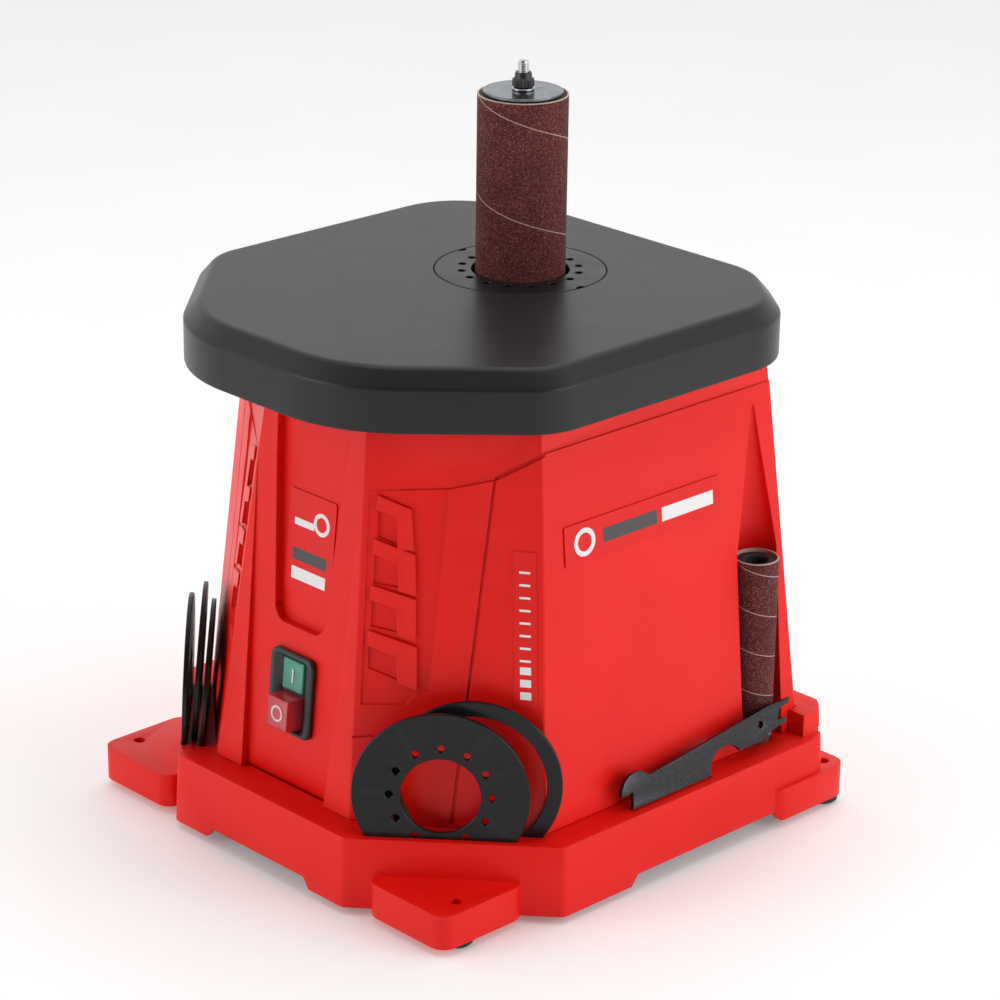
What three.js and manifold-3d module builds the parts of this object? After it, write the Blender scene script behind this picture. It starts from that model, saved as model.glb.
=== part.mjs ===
// Oscillating spindle sander, bench type: moulded base and tower, cast table,
// vertical motor on the spindle's own axis, worm and crank for the stroke,
// and the stored inserts, spare sleeve and wrench.
// Millimetres, +Z up, floor at z = 0, +X to the operator's right, -Y towards the operator.
import * as THREE from 'three';
import { mergeVertices } from 'three/addons/utils/BufferGeometryUtils.js';
import { ConvexGeometry } from 'three/addons/geometries/ConvexGeometry.js';
import Module from 'manifold-3d';

const wasm = await Module();
wasm.setup();

// ---------------------------------------------------------------- driving dimensions
const GAP = 0.3; // clearance between pieces that touch
const TABLE_TOP = 310;
const TABLE_BOTTOM = 275.8;
const TABLE_SKIN = 7;
const TABLE_BEVEL = 8.4;
const TABLE_BEVEL_DROP = 9.4;
const TABLE_WALL = 6;
const TABLE_FRONT = -189.4; // flat top's front edge, from the spindle axis
const TABLE_SIDE = 135.6;
const TABLE_BACK = 96.5;
const TABLE_ROUND = [88, 39, 50, 50]; // the outline's corner radii, front to back
const BASE_FRONT = -199; // foremost point, at the foot of the base, from the spindle axis
const PORT_TIP = 123; // rearmost point of the dust port, from the spindle axis
const SPINDLE_Y = (-BASE_FRONT - PORT_TIP) / 2; // centres the outline on y = 0

const DECK_TOP = 45; // storage ledge of the base
const DECK_THICK = 5;
const SKIRT_BOTTOM = 4;
const SKIRT_RAISED = 10;
const SKIRT_WALL = 3.5;
const EAR_TOP = 24;
const EAR_HOLE_R = 3.5;
const EAR_REACH = 62; // how far an ear's block runs in under the base
const EAR_ROUND = 9;
const BOLT_HEAD_R = 5.6; // room for a bolt's head above the ear
const FOOT_R = 9.5;
const LEDGE_TOP = 58; // raised ledge behind the tower
const SEAM = 256.5; // height of the step under the table band
const BODY_TOP = TABLE_BOTTOM - GAP;
const WALL = 3;
const SLICE = 58; // tallest slice of the twisted tower

const INSERT_R = 48.5;
const INSERT_THICK = 2.6;
const SLOT_GAP = 0.4; // play of a stored insert in its slot
const TABLE_HOLE_R = 27.8;
const SLEEVE_R = 25.5;
const SLEEVE_WALL = 1;
const SLEEVE_BOTTOM = 297.5;
const SLEEVE_LENGTH = 114;
const SPINDLE_R = 6;
const STUD_R = 3.1;
const STUD_TOP = 430;
const WASHER_R = 22.5;
const STROKE = 16;

const WORM_R = 16;
const WHEEL_R = 22;
const WHEEL_TEETH = 34;
const WHEEL_Y = WORM_R + WHEEL_R + 0.4;
const WHEEL_Z = 90;
const WHEEL_HALF = 5;
const CRANK = STROKE / 2;
const CRANK_R = 4;
const CRANK_CHEEK_R = 13;
const WORM = { z: [74, 106], pitch: 10.6, depth: 4, bore: 10.8 };
const SHAFT_PLAY = 0.3;
const YOKE = { x: [15, 19], halfWide: 19, halfHigh: 26, windowWide: 14, windowHigh: 21, stem: 8 };
const CARRIAGE = { z: [30, 38], half: 11, end: 9, boss: 18, bossZ: [26, 41], seat: 13.3 };
const GEARBOX = { left: [-23, -17], right: [28, 33], y: [-32, 66], floor: [50, 54], front: [-36, -30] };

const SPARE = { x: 131, y: 62.5, r: 13, bottom: 43 };
const TROUGH_R = 16.5;
const TROUGH_TIP = { x: 122.5, start: 160, z: 246 };
const PORT_Z = 248;
const PORT_R = 19;
const PORT_BORE = 16.5;
const CHUTE_BACK = 72.5; // rear face of the dust chute, from the spindle axis
const CHUTE_WALL = 2.5;
const CHUTE_HALF = 20;
const CHUTE_TOP = 302.5;
const CHUTE_FLOOR = 272;
const CHUTE_BOTTOM = 226;
const GLAND = { x: -60, z: 78, r: 7, bore: 3.6 };

const FRAME_PLATE = [262, 270]; // the cast frame's plate under the table
const BELL = [126, 137.7]; // the motor's lower end bell
const MOTOR_R = 62;
const MOTOR_WALL = 4;
const CORE = [155, 212]; // stator and rotor stacks
const ROTOR_R = 31;
const TUBE_R = 10.5; // tube that carries the rotor, round the spindle
const ROD_X = 39;
const ROD_R = 5;
const COVER = [10.6, 13.1]; // the plate under the base
const TABLE_SCREWS = [[-70, -105], [70, -105], [-70, 40], [70, 40]];
const SCREW_R = 3.3;

// ---------------------------------------------------------------- outlines
const mirrorX = (half) => [...half, ...half.map(([x, y]) => [-x, y]).reverse()];
const TABLE_HALF = [[60.3, TABLE_FRONT], [TABLE_SIDE, -109.8], [TABLE_SIDE, 61], [88.5, TABLE_BACK]];
const PLINTH_FLARE = 2; // how much wider the base's foot is than its top
const PLINTH_HALF = [[71, BASE_FRONT + PLINTH_FLARE], [160, -117], [160, 93], [141, 110]];
const LEDGE_HALF = [[154, 84], [154, 100], [143, 109]];
const BODY_BASE_HALF = [[56.6, -180.3], [142, -113.6], [142, 93]];
const BODY_SEAM_HALF = [[41.5, -153.9], [122, -101.4], [122, 78.8]];
const FRONT_EAR = { x: 147, y: -194, hole: [136, -174] };
const REAR_EAR = { x: 164, y: 113, hole: [154, 103] };
const FRONT_LABEL_Z = 184;
const SIDE_LABEL = { y: -28, z: 201.5, long: 122, high: 23 };
const CORNER_LABEL = { z: [117, 203], u: [3.6, 16.3] };

// ---------------------------------------------------------------- helpers
const paint = (color, roughness, metalness = 0) =>
  new THREE.MeshStandardMaterial({ color, roughness, metalness });
const MATERIALS = {
  red: paint(0xd9251f, 0.4),
  black: paint(0x1d1e20, 0.5),
  table: paint(0x2c2d2f, 0.55, 0.3),
  steel: paint(0x9a9ca0, 0.35, 0.9),
  darkSteel: paint(0x2a2b2d, 0.4, 0.8),
  aluminium: paint(0xb9bcc0, 0.45, 0.9),
  copper: paint(0xa35a2a, 0.4, 0.8),
  rubber: paint(0x161616, 0.8),
  grit: paint(0x6a3632, 0.95),
  green: paint(0x2f9b78, 0.3),
  stopRed: paint(0xd23b42, 0.3),
  label: paint(0xf1f1f1, 0.5),
  brass: paint(0xb59a55, 0.35, 0.9),
};

const machine = new THREE.Group();
machine.position.y = SPINDLE_Y;

// A closed three.js geometry as a manifold solid.
function solid(geometry) {
  const bare = new THREE.BufferGeometry();
  bare.setAttribute('position', geometry.getAttribute('position').clone());
  if (geometry.index) bare.setIndex(geometry.index.clone());
  const merged = mergeVertices(bare, 1e-4);
  return new wasm.Manifold(new wasm.Mesh({
    numProp: 3,
    vertProperties: new Float32Array(merged.getAttribute('position').array),
    triVerts: new Uint32Array(merged.index.array),
  }));
}

// Adds one named piece to a group of the machine.
function piece(name, shape, material, parent = machine) {
  const mesh = shape.getMesh();
  const geometry = new THREE.BufferGeometry();
  geometry.setAttribute('position', new THREE.BufferAttribute(mesh.vertProperties, 3));
  geometry.setIndex(new THREE.BufferAttribute(mesh.triVerts, 1));
  geometry.computeVertexNormals();
  const node = new THREE.Mesh(geometry, MATERIALS[material].clone());
  node.name = name;
  parent.add(node);
  return node;
}

// A group turned and moved as a whole, such as a sloped panel's own frame.
function frame(position, rotation) {
  const group = new THREE.Group();
  group.position.set(...position);
  group.rotation.set(...rotation, 'ZYX');
  machine.add(group);
  return group;
}

function matrixOf(group) {
  group.updateMatrix();
  return group.matrix.clone();
}

const placed = (shape, matrix) => shape.transform(matrix.elements);

function box([x0, x1], [y0, y1], [z0, z1]) {
  const geometry = new THREE.BoxGeometry(x1 - x0, y1 - y0, z1 - z0);
  return solid(geometry.translate((x0 + x1) / 2, (y0 + y1) / 2, (z0 + z1) / 2));
}

function disc(radius, [z0, z1], [x, y] = [0, 0], sides = 24) {
  const geometry = new THREE.CylinderGeometry(radius, radius, z1 - z0, sides);
  return solid(geometry.rotateX(Math.PI / 2).translate(x, y, (z0 + z1) / 2));
}

const ring = (outer, inner, span, at, sides) =>
  disc(outer, span, at, sides).subtract(disc(inner, [span[0] - 1, span[1] + 1], at, sides));

function prism(points, [z0, z1]) {
  const shape = new THREE.Shape(points.map(([x, y]) => new THREE.Vector2(x, y)));
  const geometry = new THREE.ExtrudeGeometry(shape, { depth: z1 - z0, bevelEnabled: false });
  return solid(geometry.translate(0, 0, z0));
}

// A convex solid between outlines at two or more heights.
function hull(...levels) {
  const points = levels.flatMap(([outline, z]) =>
    outline.map(([x, y]) => new THREE.Vector3(x, y, z)));
  return solid(new ConvexGeometry(points));
}

// Moves each side of a convex, anticlockwise outline outwards by a distance.
function offset(outline, distance) {
  const count = outline.length;
  const sides = outline.map((p, i) => {
    const q = outline[(i + 1) % count];
    const length = Math.hypot(q[0] - p[0], q[1] - p[1]);
    const normal = [(q[1] - p[1]) / length, (p[0] - q[0]) / length];
    return { normal, reach: normal[0] * p[0] + normal[1] * p[1] + distance };
  });
  return sides.map((b, i) => {
    const a = sides[(i + count - 1) % count];
    const cross = a.normal[0] * b.normal[1] - a.normal[1] * b.normal[0];
    return [(a.reach * b.normal[1] - b.reach * a.normal[1]) / cross,
      (a.normal[0] * b.reach - b.normal[0] * a.reach) / cross];
  });
}

// Rounds every corner of a convex outline with an arc, of one radius or one for each corner.
function rounded(outline, radii, steps = 6) {
  const count = outline.length;
  return outline.flatMap((corner, i) => {
    const radius = Array.isArray(radii) ? radii[i] : radii;
    const before = new THREE.Vector2(...outline[(i + count - 1) % count]);
    const after = new THREE.Vector2(...outline[(i + 1) % count]);
    const at = new THREE.Vector2(...corner);
    const to = before.clone().sub(at).normalize();
    const from = after.clone().sub(at).normalize();
    const half = Math.acos(THREE.MathUtils.clamp(to.dot(from), -1, 1)) / 2;
    const middle = to.clone().add(from).normalize();
    const centre = at.clone().addScaledVector(middle, radius / Math.sin(half));
    const start = at.clone().add(to.multiplyScalar(radius / Math.tan(half))).sub(centre);
    const sweep = Math.PI - 2 * half;
    return Array.from({ length: steps + 1 }, (_, k) => {
      const point = start.clone().rotateAround(new THREE.Vector2(), sweep * k / steps).add(centre);
      return [point.x, point.y];
    });
  });
}

const between = (low, high, t) =>
  low.map(([x, y], i) => [x + (high[i][0] - x) * t, y + (high[i][1] - y) * t]);

// The tower's outline at a height, on its sloping outer faces.
function bodyOutline(z, inset = 0) {
  const rise = (z - DECK_TOP) / (SEAM - DECK_TOP);
  return offset(between(mirrorX(BODY_BASE_HALF), mirrorX(BODY_SEAM_HALF), rise), -inset);
}

// The chamfers twist a little, so the tower is stacked from convex slices.
function bodyHull(inset, [z0, z1]) {
  const count = Math.ceil((z1 - z0) / SLICE);
  const slices = Array.from({ length: count }, (_, i) => {
    const low = z0 + (z1 - z0) * i / count;
    const high = z0 + (z1 - z0) * (i + 1) / count;
    return hull([bodyOutline(low, inset), low], [bodyOutline(high, inset), high]);
  });
  return slices.reduce((whole, slice) => whole.add(slice));
}

// ---------------------------------------------------------------- frames of the sloped faces
const FRONT_SLOPE = Math.atan(0.1);
const SIDE_SLOPE = Math.atan((BODY_BASE_HALF[1][0] - BODY_SEAM_HALF[1][0]) / (SEAM - DECK_TOP));
const frontY = (z) => -157.5 - 0.1 * (228 - z); // middle of the front face
const SWITCH_Z = 99.5;
const SWITCH = { bezel: [17.4, 23.5], proud: 4, body: [15, 20.5], deep: 30, cell: 9, cellHigh: 19.6 };
const switchFrame = frame([0, frontY(SWITCH_Z), SWITCH_Z], [-FRONT_SLOPE, 0, 0]);

// The storage corners: x along the chamfer, y inwards, z up, on the ledge's edge.
const CHAMFER_MID = [115.5, -157, DECK_TOP];
const CHAMFER_TURN = Math.atan2(80, 89);
const rightCorner = frame(CHAMFER_MID, [0, 0, CHAMFER_TURN]);
const leftCorner = frame([-CHAMFER_MID[0], CHAMFER_MID[1], DECK_TOP], [0, 0, -CHAMFER_TURN]);

// Each stored insert: its corner, place along and inwards at the deck, its centre's
// distance up its own slope, lean in degrees, hole radius, dust holes and their circle's radius.
const STORED = [
  { side: 'right', along: -7.7, inward: 5.5, up: 25.4, lean: 0, hole: 22, dust: 12, pcd: 28 },
  { side: 'right', along: 9.3, inward: 12.8, up: 30, lean: 0, hole: 40, dust: 0, pcd: 0 },
  { side: 'left', along: -4.4, inward: 2.6, up: 24.4, lean: 2.5, hole: 16, dust: 12, pcd: 28 },
  { side: 'left', along: -2.4, inward: 8, up: 30.7, lean: 4.5, hole: 34, dust: 16, pcd: 39 },
  { side: 'left', along: -5.2, inward: 12.8, up: 21.1, lean: 5, hole: 10, dust: 12, pcd: 28 },
];

// ---------------------------------------------------------------- base
// A corner ear with its bolt hole and the room above it, on either side of the machine.
function ear({ x, y, hole }, sx) {
  const [left, right] = [sx * x, sx * (x - EAR_REACH)].sort((a, b) => a - b);
  const [front, back] = [y, y - Math.sign(y) * EAR_REACH].sort((a, b) => a - b);
  const corners = [[left, front], [right, front], [right, back], [left, back]];
  const at = [hole[0] * sx, hole[1]];
  return {
    block: prism(rounded(corners, EAR_ROUND, 4), [SKIRT_BOTTOM, EAR_TOP]),
    hole: disc(EAR_HOLE_R, [0, EAR_TOP + 1], at, 16),
    headroom: disc(BOLT_HEAD_R, [EAR_TOP, LEDGE_TOP + 2], at, 20),
  };
}

// A stored insert's own frame: z up its face from the deck, y through its thickness.
function storedMatrix(spot) {
  const onRight = spot.side === 'right';
  return matrixOf(onRight ? rightCorner : leftCorner)
    .multiply(new THREE.Matrix4().makeTranslation(onRight ? spot.along : -spot.along, spot.inward, 0))
    .multiply(new THREE.Matrix4().makeRotationX(-THREE.MathUtils.degToRad(spot.lean)))
    .multiply(new THREE.Matrix4().makeTranslation(0, 0, spot.up));
}

function storedSlot(spot) {
  const radius = INSERT_R + SLOT_GAP;
  const slot = new THREE.CylinderGeometry(radius, radius, INSERT_THICK + 2 * SLOT_GAP, 36);
  return placed(solid(slot), storedMatrix(spot));
}

function basePlinth() {
  const top = rounded(mirrorX(PLINTH_HALF), 6, 3);
  const bottom = rounded(offset(mirrorX(PLINTH_HALF), PLINTH_FLARE), 6, 3);
  const outer = hull([bottom, SKIRT_BOTTOM], [top, DECK_TOP]);
  const inner = hull([offset(mirrorX(PLINTH_HALF), PLINTH_FLARE - SKIRT_WALL), SKIRT_BOTTOM - 1],
    [offset(mirrorX(PLINTH_HALF), -SKIRT_WALL), DECK_TOP - DECK_THICK]);
  let shape = outer.subtract(inner);
  for (const sx of [-1, 1]) {
    for (const spot of [FRONT_EAR, REAR_EAR]) {
      const { block, hole } = ear(spot, sx);
      shape = shape.add(block.subtract(inner)).subtract(hole);
    }
  }
  const ledge = hull([mirrorX(LEDGE_HALF), DECK_TOP - 1], [offset(mirrorX(LEDGE_HALF), -1), LEDGE_TOP]);
  shape = shape.add(ledge.subtract(hull([bodyOutline(DECK_TOP - 2, -GAP), DECK_TOP - 2],
    [bodyOutline(LEDGE_TOP + 1, -GAP), LEDGE_TOP + 1])));
  for (const corner of [rightCorner, leftCorner]) {
    const pocket = placed(box([-60, 60], [1, 26], [-33, -1]), matrixOf(corner));
    shape = shape.add(pocket.intersect(outer));
  }
  shape = shape.add(disc(SPARE.r + 3, [DECK_TOP - 9, DECK_TOP - 1], [SPARE.x, SPARE.y]));
  shape = shape.subtract(prism(bodyOutline(DECK_TOP, 9), [SKIRT_BOTTOM - 1, LEDGE_TOP]));
  shape = shape.subtract(disc(SPARE.r + 0.5, [SPARE.bottom - GAP, LEDGE_TOP], [SPARE.x, SPARE.y]));
  shape = shape.add(disc(SPINDLE_R, [SPARE.bottom - 2, DECK_TOP + 10], [SPARE.x, SPARE.y], 24));
  for (const spot of STORED) {
    shape = shape.subtract(storedSlot(spot));
  }
  for (const sx of [-1, 1]) {
    shape = shape.subtract(ear(REAR_EAR, sx).headroom);
  }
  return shape.subtract(skirtNotches());
}

// The skirt is raised between its corner feet.
function skirtNotches() {
  const trapezoid = (from, to) => [[from, SKIRT_BOTTOM - 1], [to, SKIRT_BOTTOM - 1], [to - 6, SKIRT_RAISED],
    [from + 6, SKIRT_RAISED]];
  const across = solid(new THREE.ExtrudeGeometry(
    new THREE.Shape(trapezoid(-66, 58).map(([a, b]) => new THREE.Vector2(a, b))),
    { depth: 400, bevelEnabled: false },
  ).translate(0, 0, -200).rotateX(Math.PI / 2).rotateZ(Math.PI / 2));
  const along = solid(new THREE.ExtrudeGeometry(
    new THREE.Shape(trapezoid(-45, 45).map(([a, b]) => new THREE.Vector2(a, b))),
    { depth: 400, bevelEnabled: false },
  ).translate(0, 0, -200).rotateX(Math.PI / 2));
  return across.add(along);
}

const bottomCover = () =>
  prism(rounded(offset(mirrorX(PLINTH_HALF), -SKIRT_WALL - 2), 5, 3), COVER)
    .subtract(pocketsBelow());

// The cover is cut back round the storage pockets, which hang below the deck.
function pocketsBelow() {
  const cuts = [rightCorner, leftCorner].map((corner) =>
    placed(box([-75, 75], [-20, 27], [-40, -20]), matrixOf(corner)));
  return cuts[0].add(cuts[1]);
}

function rubberFoot([x, y], sx) {
  return ring(FOOT_R, EAR_HOLE_R + GAP, [0, SKIRT_BOTTOM - GAP], [x * sx, y], 20);
}

// ---------------------------------------------------------------- tower
const RECESS = { top: 32, bottom: 20, z0: 137, depth: 5 };

function recessBlock(grow, from, to) {
  const rows = [[RECESS.z0 - grow, RECESS.bottom + grow], [BODY_TOP + 2, RECESS.top + grow]];
  const points = rows.flatMap(([z, half]) => [-half, half].flatMap((x) =>
    [from, to].map((depth) => new THREE.Vector3(x, frontY(z) + depth, z))));
  return solid(new ConvexGeometry(points));
}

// The middle of the front face falls back a little towards the ledge.
function frontFlat() {
  const rows = [[DECK_TOP - 1, 35], [228, 43.5]];
  const points = rows.flatMap(([z, half]) => [-half, half].flatMap((x) =>
    [-12, 0].map((depth) => new THREE.Vector3(x, frontY(z) + depth, z))));
  return solid(new ConvexGeometry(points));
}

// The spare sleeve's trough in the side face: open outwards, and tapering to a point above.
function trough(grow) {
  const radius = TROUGH_R + grow;
  const arc = Array.from({ length: 17 }, (_, i) => {
    const angle = Math.PI / 2 + (i / 16) * Math.PI;
    return [SPARE.x + radius * Math.cos(angle), SPARE.y + radius * Math.sin(angle)];
  });
  const outline = [...arc, [SPARE.x + 40, SPARE.y - radius], [SPARE.x + 40, SPARE.y + radius]];
  const tip = [[TROUGH_TIP.x, SPARE.y - 1 - grow], [SPARE.x + 40, SPARE.y - 1 - grow],
    [SPARE.x + 40, SPARE.y + 1 + grow], [TROUGH_TIP.x, SPARE.y + 1 + grow]];
  return hull([outline, DECK_TOP - 1], [outline, TROUGH_TIP.start], [tip, TROUGH_TIP.z]);
}

function bodyShell() {
  const outer = bodyHull(0, [DECK_TOP + GAP, BODY_TOP]);
  const inner = bodyHull(WALL + 1.5, [DECK_TOP, BODY_TOP + 1]);
  let shape = outer.subtract(inner);
  shape = shape.add(recessBlock(WALL, 0, RECESS.depth + WALL).intersect(outer));
  shape = shape.add(trough(WALL).intersect(outer));
  for (const span of [[-124, -94], [94, 124]]) {
    for (const y of [-60, 30]) {
      const rib = box(span, [y - 8, y + 8], [205, FRAME_PLATE[0] - GAP]);
      shape = shape.add(rib.intersect(outer));
    }
  }
  shape = shape.subtract(frontFlat());
  shape = shape.subtract(recessBlock(0, -20, RECESS.depth));
  shape = shape.subtract(trough(0));
  shape = shape.subtract(placed(box([-15.4, 15.4], [-10, 20], [-20.9, 20.9]), matrixOf(switchFrame)));
  shape = shape.subtract(along(disc(PORT_R + 0.4, [65, 110], [0, 0], 28), PORT_Z, 0));
  return shape.subtract(along(disc(GLAND.r + GAP, [70, 110], [0, 0], 24), GLAND.z, GLAND.x));
}

// Turns a solid made along +Z so that it runs along +Y, at a height and an x.
const along = (shape, z, x) =>
  placed(shape, new THREE.Matrix4().makeTranslation(x, 0, z)
    .multiply(new THREE.Matrix4().makeRotationX(-Math.PI / 2)));

// ---------------------------------------------------------------- table
function table() {
  const flat = mirrorX(TABLE_HALF);
  const radii = (less) => [...TABLE_ROUND, ...TABLE_ROUND.slice().reverse()].map((r) => r - less);
  const edge = rounded(offset(flat, TABLE_BEVEL), radii(0));
  const rim = rounded(flat, radii(6));
  let shape = hull([edge, TABLE_BOTTOM], [edge, TABLE_TOP - TABLE_BEVEL_DROP], [rim, TABLE_TOP]);
  const cavity = prism(rounded(offset(flat, TABLE_BEVEL - TABLE_WALL), radii(4), 4),
    [TABLE_BOTTOM - 1, TABLE_TOP - TABLE_SKIN]);
  shape = shape.subtract(cavity);
  const seat = prism(bodyOutline(BODY_TOP, -1), [TABLE_BOTTOM, TABLE_TOP - TABLE_SKIN + 1])
    .subtract(prism(bodyOutline(BODY_TOP, 6), [0, TABLE_TOP]));
  shape = shape.add(seat.subtract(box([-26, 26], [70, 120], [0, TABLE_TOP - TABLE_SKIN])));
  for (const spot of TABLE_SCREWS) {
    shape = shape.add(disc(9, [FRAME_PLATE[1] + GAP, TABLE_TOP - 5], spot, 24));
    shape = shape.subtract(disc(SCREW_R, [0, 292], spot, 16));
  }
  shape = shape.subtract(disc(INSERT_R + 0.5, [TABLE_TOP - INSERT_THICK - GAP, TABLE_TOP + 1], [0, 0], 36));
  return shape.subtract(disc(INSERT_R - 5, [0, TABLE_TOP], [0, 0], 36));
}

// A flat insert about the z axis, from z = 0 up.
function insert(hole, dust, pcd, turn = 0, notches = false) {
  let shape = ring(INSERT_R, hole, [0, INSERT_THICK], [0, 0], 36);
  for (let i = 0; i < dust; i += 1) {
    const angle = (i / dust) * 2 * Math.PI + turn;
    const spot = [pcd * Math.cos(angle), pcd * Math.sin(angle)];
    shape = shape.subtract(disc(2.4, [-1, INSERT_THICK + 1], spot, 6));
  }
  if (notches) {
    for (const sx of [-1, 1]) {
      shape = shape.subtract(disc(3.2, [-1, INSERT_THICK + 1], [sx * (INSERT_R + 0.6), 0], 16));
    }
  }
  return shape;
}

function storedInsert(spot) {
  const upright = new THREE.Matrix4().makeTranslation(0, INSERT_THICK / 2, 0)
    .multiply(new THREE.Matrix4().makeRotationX(Math.PI / 2));
  return placed(insert(spot.hole, spot.dust, spot.pcd), storedMatrix(spot).multiply(upright));
}

// ---------------------------------------------------------------- drive
function upperFrame() {
  let shape = prism(bodyOutline(FRAME_PLATE[1], 6), FRAME_PLATE);
  shape = shape.add(disc(30, [246, FRAME_PLATE[0] + 1]));
  shape = shape.subtract(disc(24, [245, 260]));
  shape = shape.subtract(disc(13, [245, 280]));
  shape = shape.subtract(box([-23, 23], [62.3, 100], [200, 280]));
  shape = shape.subtract(recessBlock(WALL + 1, -10, RECESS.depth + WALL + 1));
  for (const spot of TABLE_SCREWS) {
    shape = shape.subtract(disc(SCREW_R, [255, 275], spot, 16));
  }
  return shape;
}

function motorHousing() {
  let shape = ring(MOTOR_R, MOTOR_R - MOTOR_WALL, [BELL[1] + GAP, FRAME_PLATE[0] - GAP], [0, 0], 28);
  for (let i = 0; i < 8; i += 1) {
    const turn = new THREE.Matrix4().makeRotationZ((i + 0.5) * Math.PI / 4);
    shape = shape.subtract(placed(box([40, 80], [-12, 12], [230, 242]), turn));
  }
  return shape;
}

function coolingFan() {
  let shape = ring(16, 10.8, [229, 241], [0, 0], 28).add(ring(50, 12, [229, 231], [0, 0], 28));
  for (let i = 0; i < 10; i += 1) {
    const turn = new THREE.Matrix4().makeRotationZ(i * Math.PI / 5);
    shape = shape.add(placed(box([15, 49], [-0.8, 0.8], [230, 240]), turn));
  }
  return shape;
}

// A worm: rings of points whose radius follows a helical tooth.
function worm() {
  const { z: [z0, z1], pitch, depth, bore } = WORM;
  const [sides, rows] = [16, 18];
  const profile = (z, angle) => {
    const phase = (z / pitch - angle / (2 * Math.PI)) % 1;
    return WORM_R - depth / 2 * (1 - Math.cos(2 * Math.PI * phase));
  };
  const sheet = new THREE.CylinderGeometry(1, 1, z1 - z0, sides, rows).rotateX(Math.PI / 2);
  sheet.translate(0, 0, (z0 + z1) / 2);
  const position = sheet.getAttribute('position');
  for (let i = 0; i < position.count; i += 1) {
    const point = new THREE.Vector3().fromBufferAttribute(position, i);
    const flat = Math.hypot(point.x, point.y);
    if (flat > 0.5) {
      const radius = profile(point.z, Math.atan2(point.y, point.x));
      position.setXYZ(i, point.x / flat * radius, point.y / flat * radius, point.z);
    }
  }
  return solid(sheet).subtract(disc(bore, [z0 - 1, z1 + 1], [0, 0], 20));
}

function wormWheel() {
  const outline = [];
  for (let i = 0; i < WHEEL_TEETH; i += 1) {
    for (const [part, radius] of [[0, 0.89], [0.3, 0.89], [0.45, 1], [0.85, 1]]) {
      const angle = ((i + part) / WHEEL_TEETH) * 2 * Math.PI;
      outline.push([WHEEL_R * radius * Math.cos(angle), WHEEL_R * radius * Math.sin(angle)]);
    }
  }
  const gear = prism(outline, [-WHEEL_HALF, WHEEL_HALF]).add(disc(8, [-8, 7.7], [0, 0], 28));
  return placed(gear.subtract(disc(CRANK_R + SHAFT_PLAY, [-20, 20], [0, 0], 24)), wheelMatrix());
}

// The wheel's own frame: its z is the machine's x.
const wheelMatrix = () => new THREE.Matrix4().makeTranslation(0, WHEEL_Y, WHEEL_Z)
  .multiply(new THREE.Matrix4().makeRotationY(Math.PI / 2));

function crankshaft() {
  let shape = disc(CRANK_R, [-24, 9], [0, 0], 24).add(disc(CRANK_CHEEK_R, [8, 12], [0, 0], 28));
  shape = shape.add(disc(CRANK_R, [11, 22], [0, CRANK], 24));
  return placed(shape, wheelMatrix());
}

function gearboxFrame() {
  const { left, right, y, floor, front } = GEARBOX;
  const walls = [floor[1] - 1, BELL[0] - GAP];
  let shape = box([-30, right[1]], y, floor);
  shape = shape.add(box(left, y, walls)).add(box(right, y, walls));
  shape = shape.add(box([left[0], right[1]], front, walls));
  shape = shape.subtract(disc(15, [floor[0] - 10, floor[1] + 6], [0, 0], 28));
  const [x0, x1] = YOKE.x;
  shape = shape.subtract(box([x0 - 3, x1 + 3], [27, 50], [floor[0] - 5, floor[1] + 6]));
  const bore = placed(disc(CRANK_R + SHAFT_PLAY, [-40, -10], [0, 0], 24), wheelMatrix());
  return shape.subtract(bore);
}

function yoke() {
  const { x, halfWide, halfHigh, windowWide, windowHigh, stem } = YOKE;
  const around = (half, centre) => [centre - half, centre + half];
  const plate = box(x, around(halfWide, WHEEL_Y), around(halfHigh, WHEEL_Z));
  const opening = box([x[0] - 1, x[1] + 1], around(windowWide, WHEEL_Y), around(windowHigh, WHEEL_Z));
  const foot = [CARRIAGE.z[1] + GAP, WHEEL_Z - windowHigh - 1];
  return plate.subtract(opening).add(box(x, around(stem, WHEEL_Y), foot));
}

function carriage() {
  const { z, half, end, boss, bossZ, seat } = CARRIAGE;
  let shape = box([-ROD_X - end, ROD_X + end], [-half, half], z);
  shape = shape.add(box([8, 26], [0, WHEEL_Y + 10], z)).add(disc(boss, bossZ, [0, 0], 28));
  shape = shape.subtract(disc(seat, [bossZ[0] - 1, bossZ[1] + 4], [0, 0], 28));
  for (const x of [-ROD_X, ROD_X]) {
    shape = shape.subtract(disc(ROD_R + GAP, [20, 50], [x, 0], 24));
  }
  return shape;
}

function dustChute() {
  const pan = (radius, wall, floor, top) => disc(radius, [floor, top], [0, 0], 36)
    .add(box([wall - CHUTE_HALF, CHUTE_HALF - wall], [30, CHUTE_BACK - wall], [floor, top]));
  const duct = (wall) => box([wall - CHUTE_HALF, CHUTE_HALF - wall],
    [MOTOR_R + 0.5 + wall, CHUTE_BACK - wall], [CHUTE_BOTTOM + wall, CHUTE_TOP - 20]);
  const outer = pan(46, 0, CHUTE_FLOOR, CHUTE_TOP).add(duct(0));
  const inner = pan(43.5, CHUTE_WALL, CHUTE_FLOOR + CHUTE_WALL, CHUTE_TOP - CHUTE_WALL)
    .add(disc(43.5, [CHUTE_TOP - 5, CHUTE_TOP + 1], [0, 0], 36)).add(duct(CHUTE_WALL));
  const shape = outer.subtract(inner).subtract(disc(17, [260, 280], [0, 0], 28));
  return shape.subtract(along(disc(PORT_BORE, [CHUTE_BACK - 6, 100], [0, 0], 28), PORT_Z, 0));
}

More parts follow.
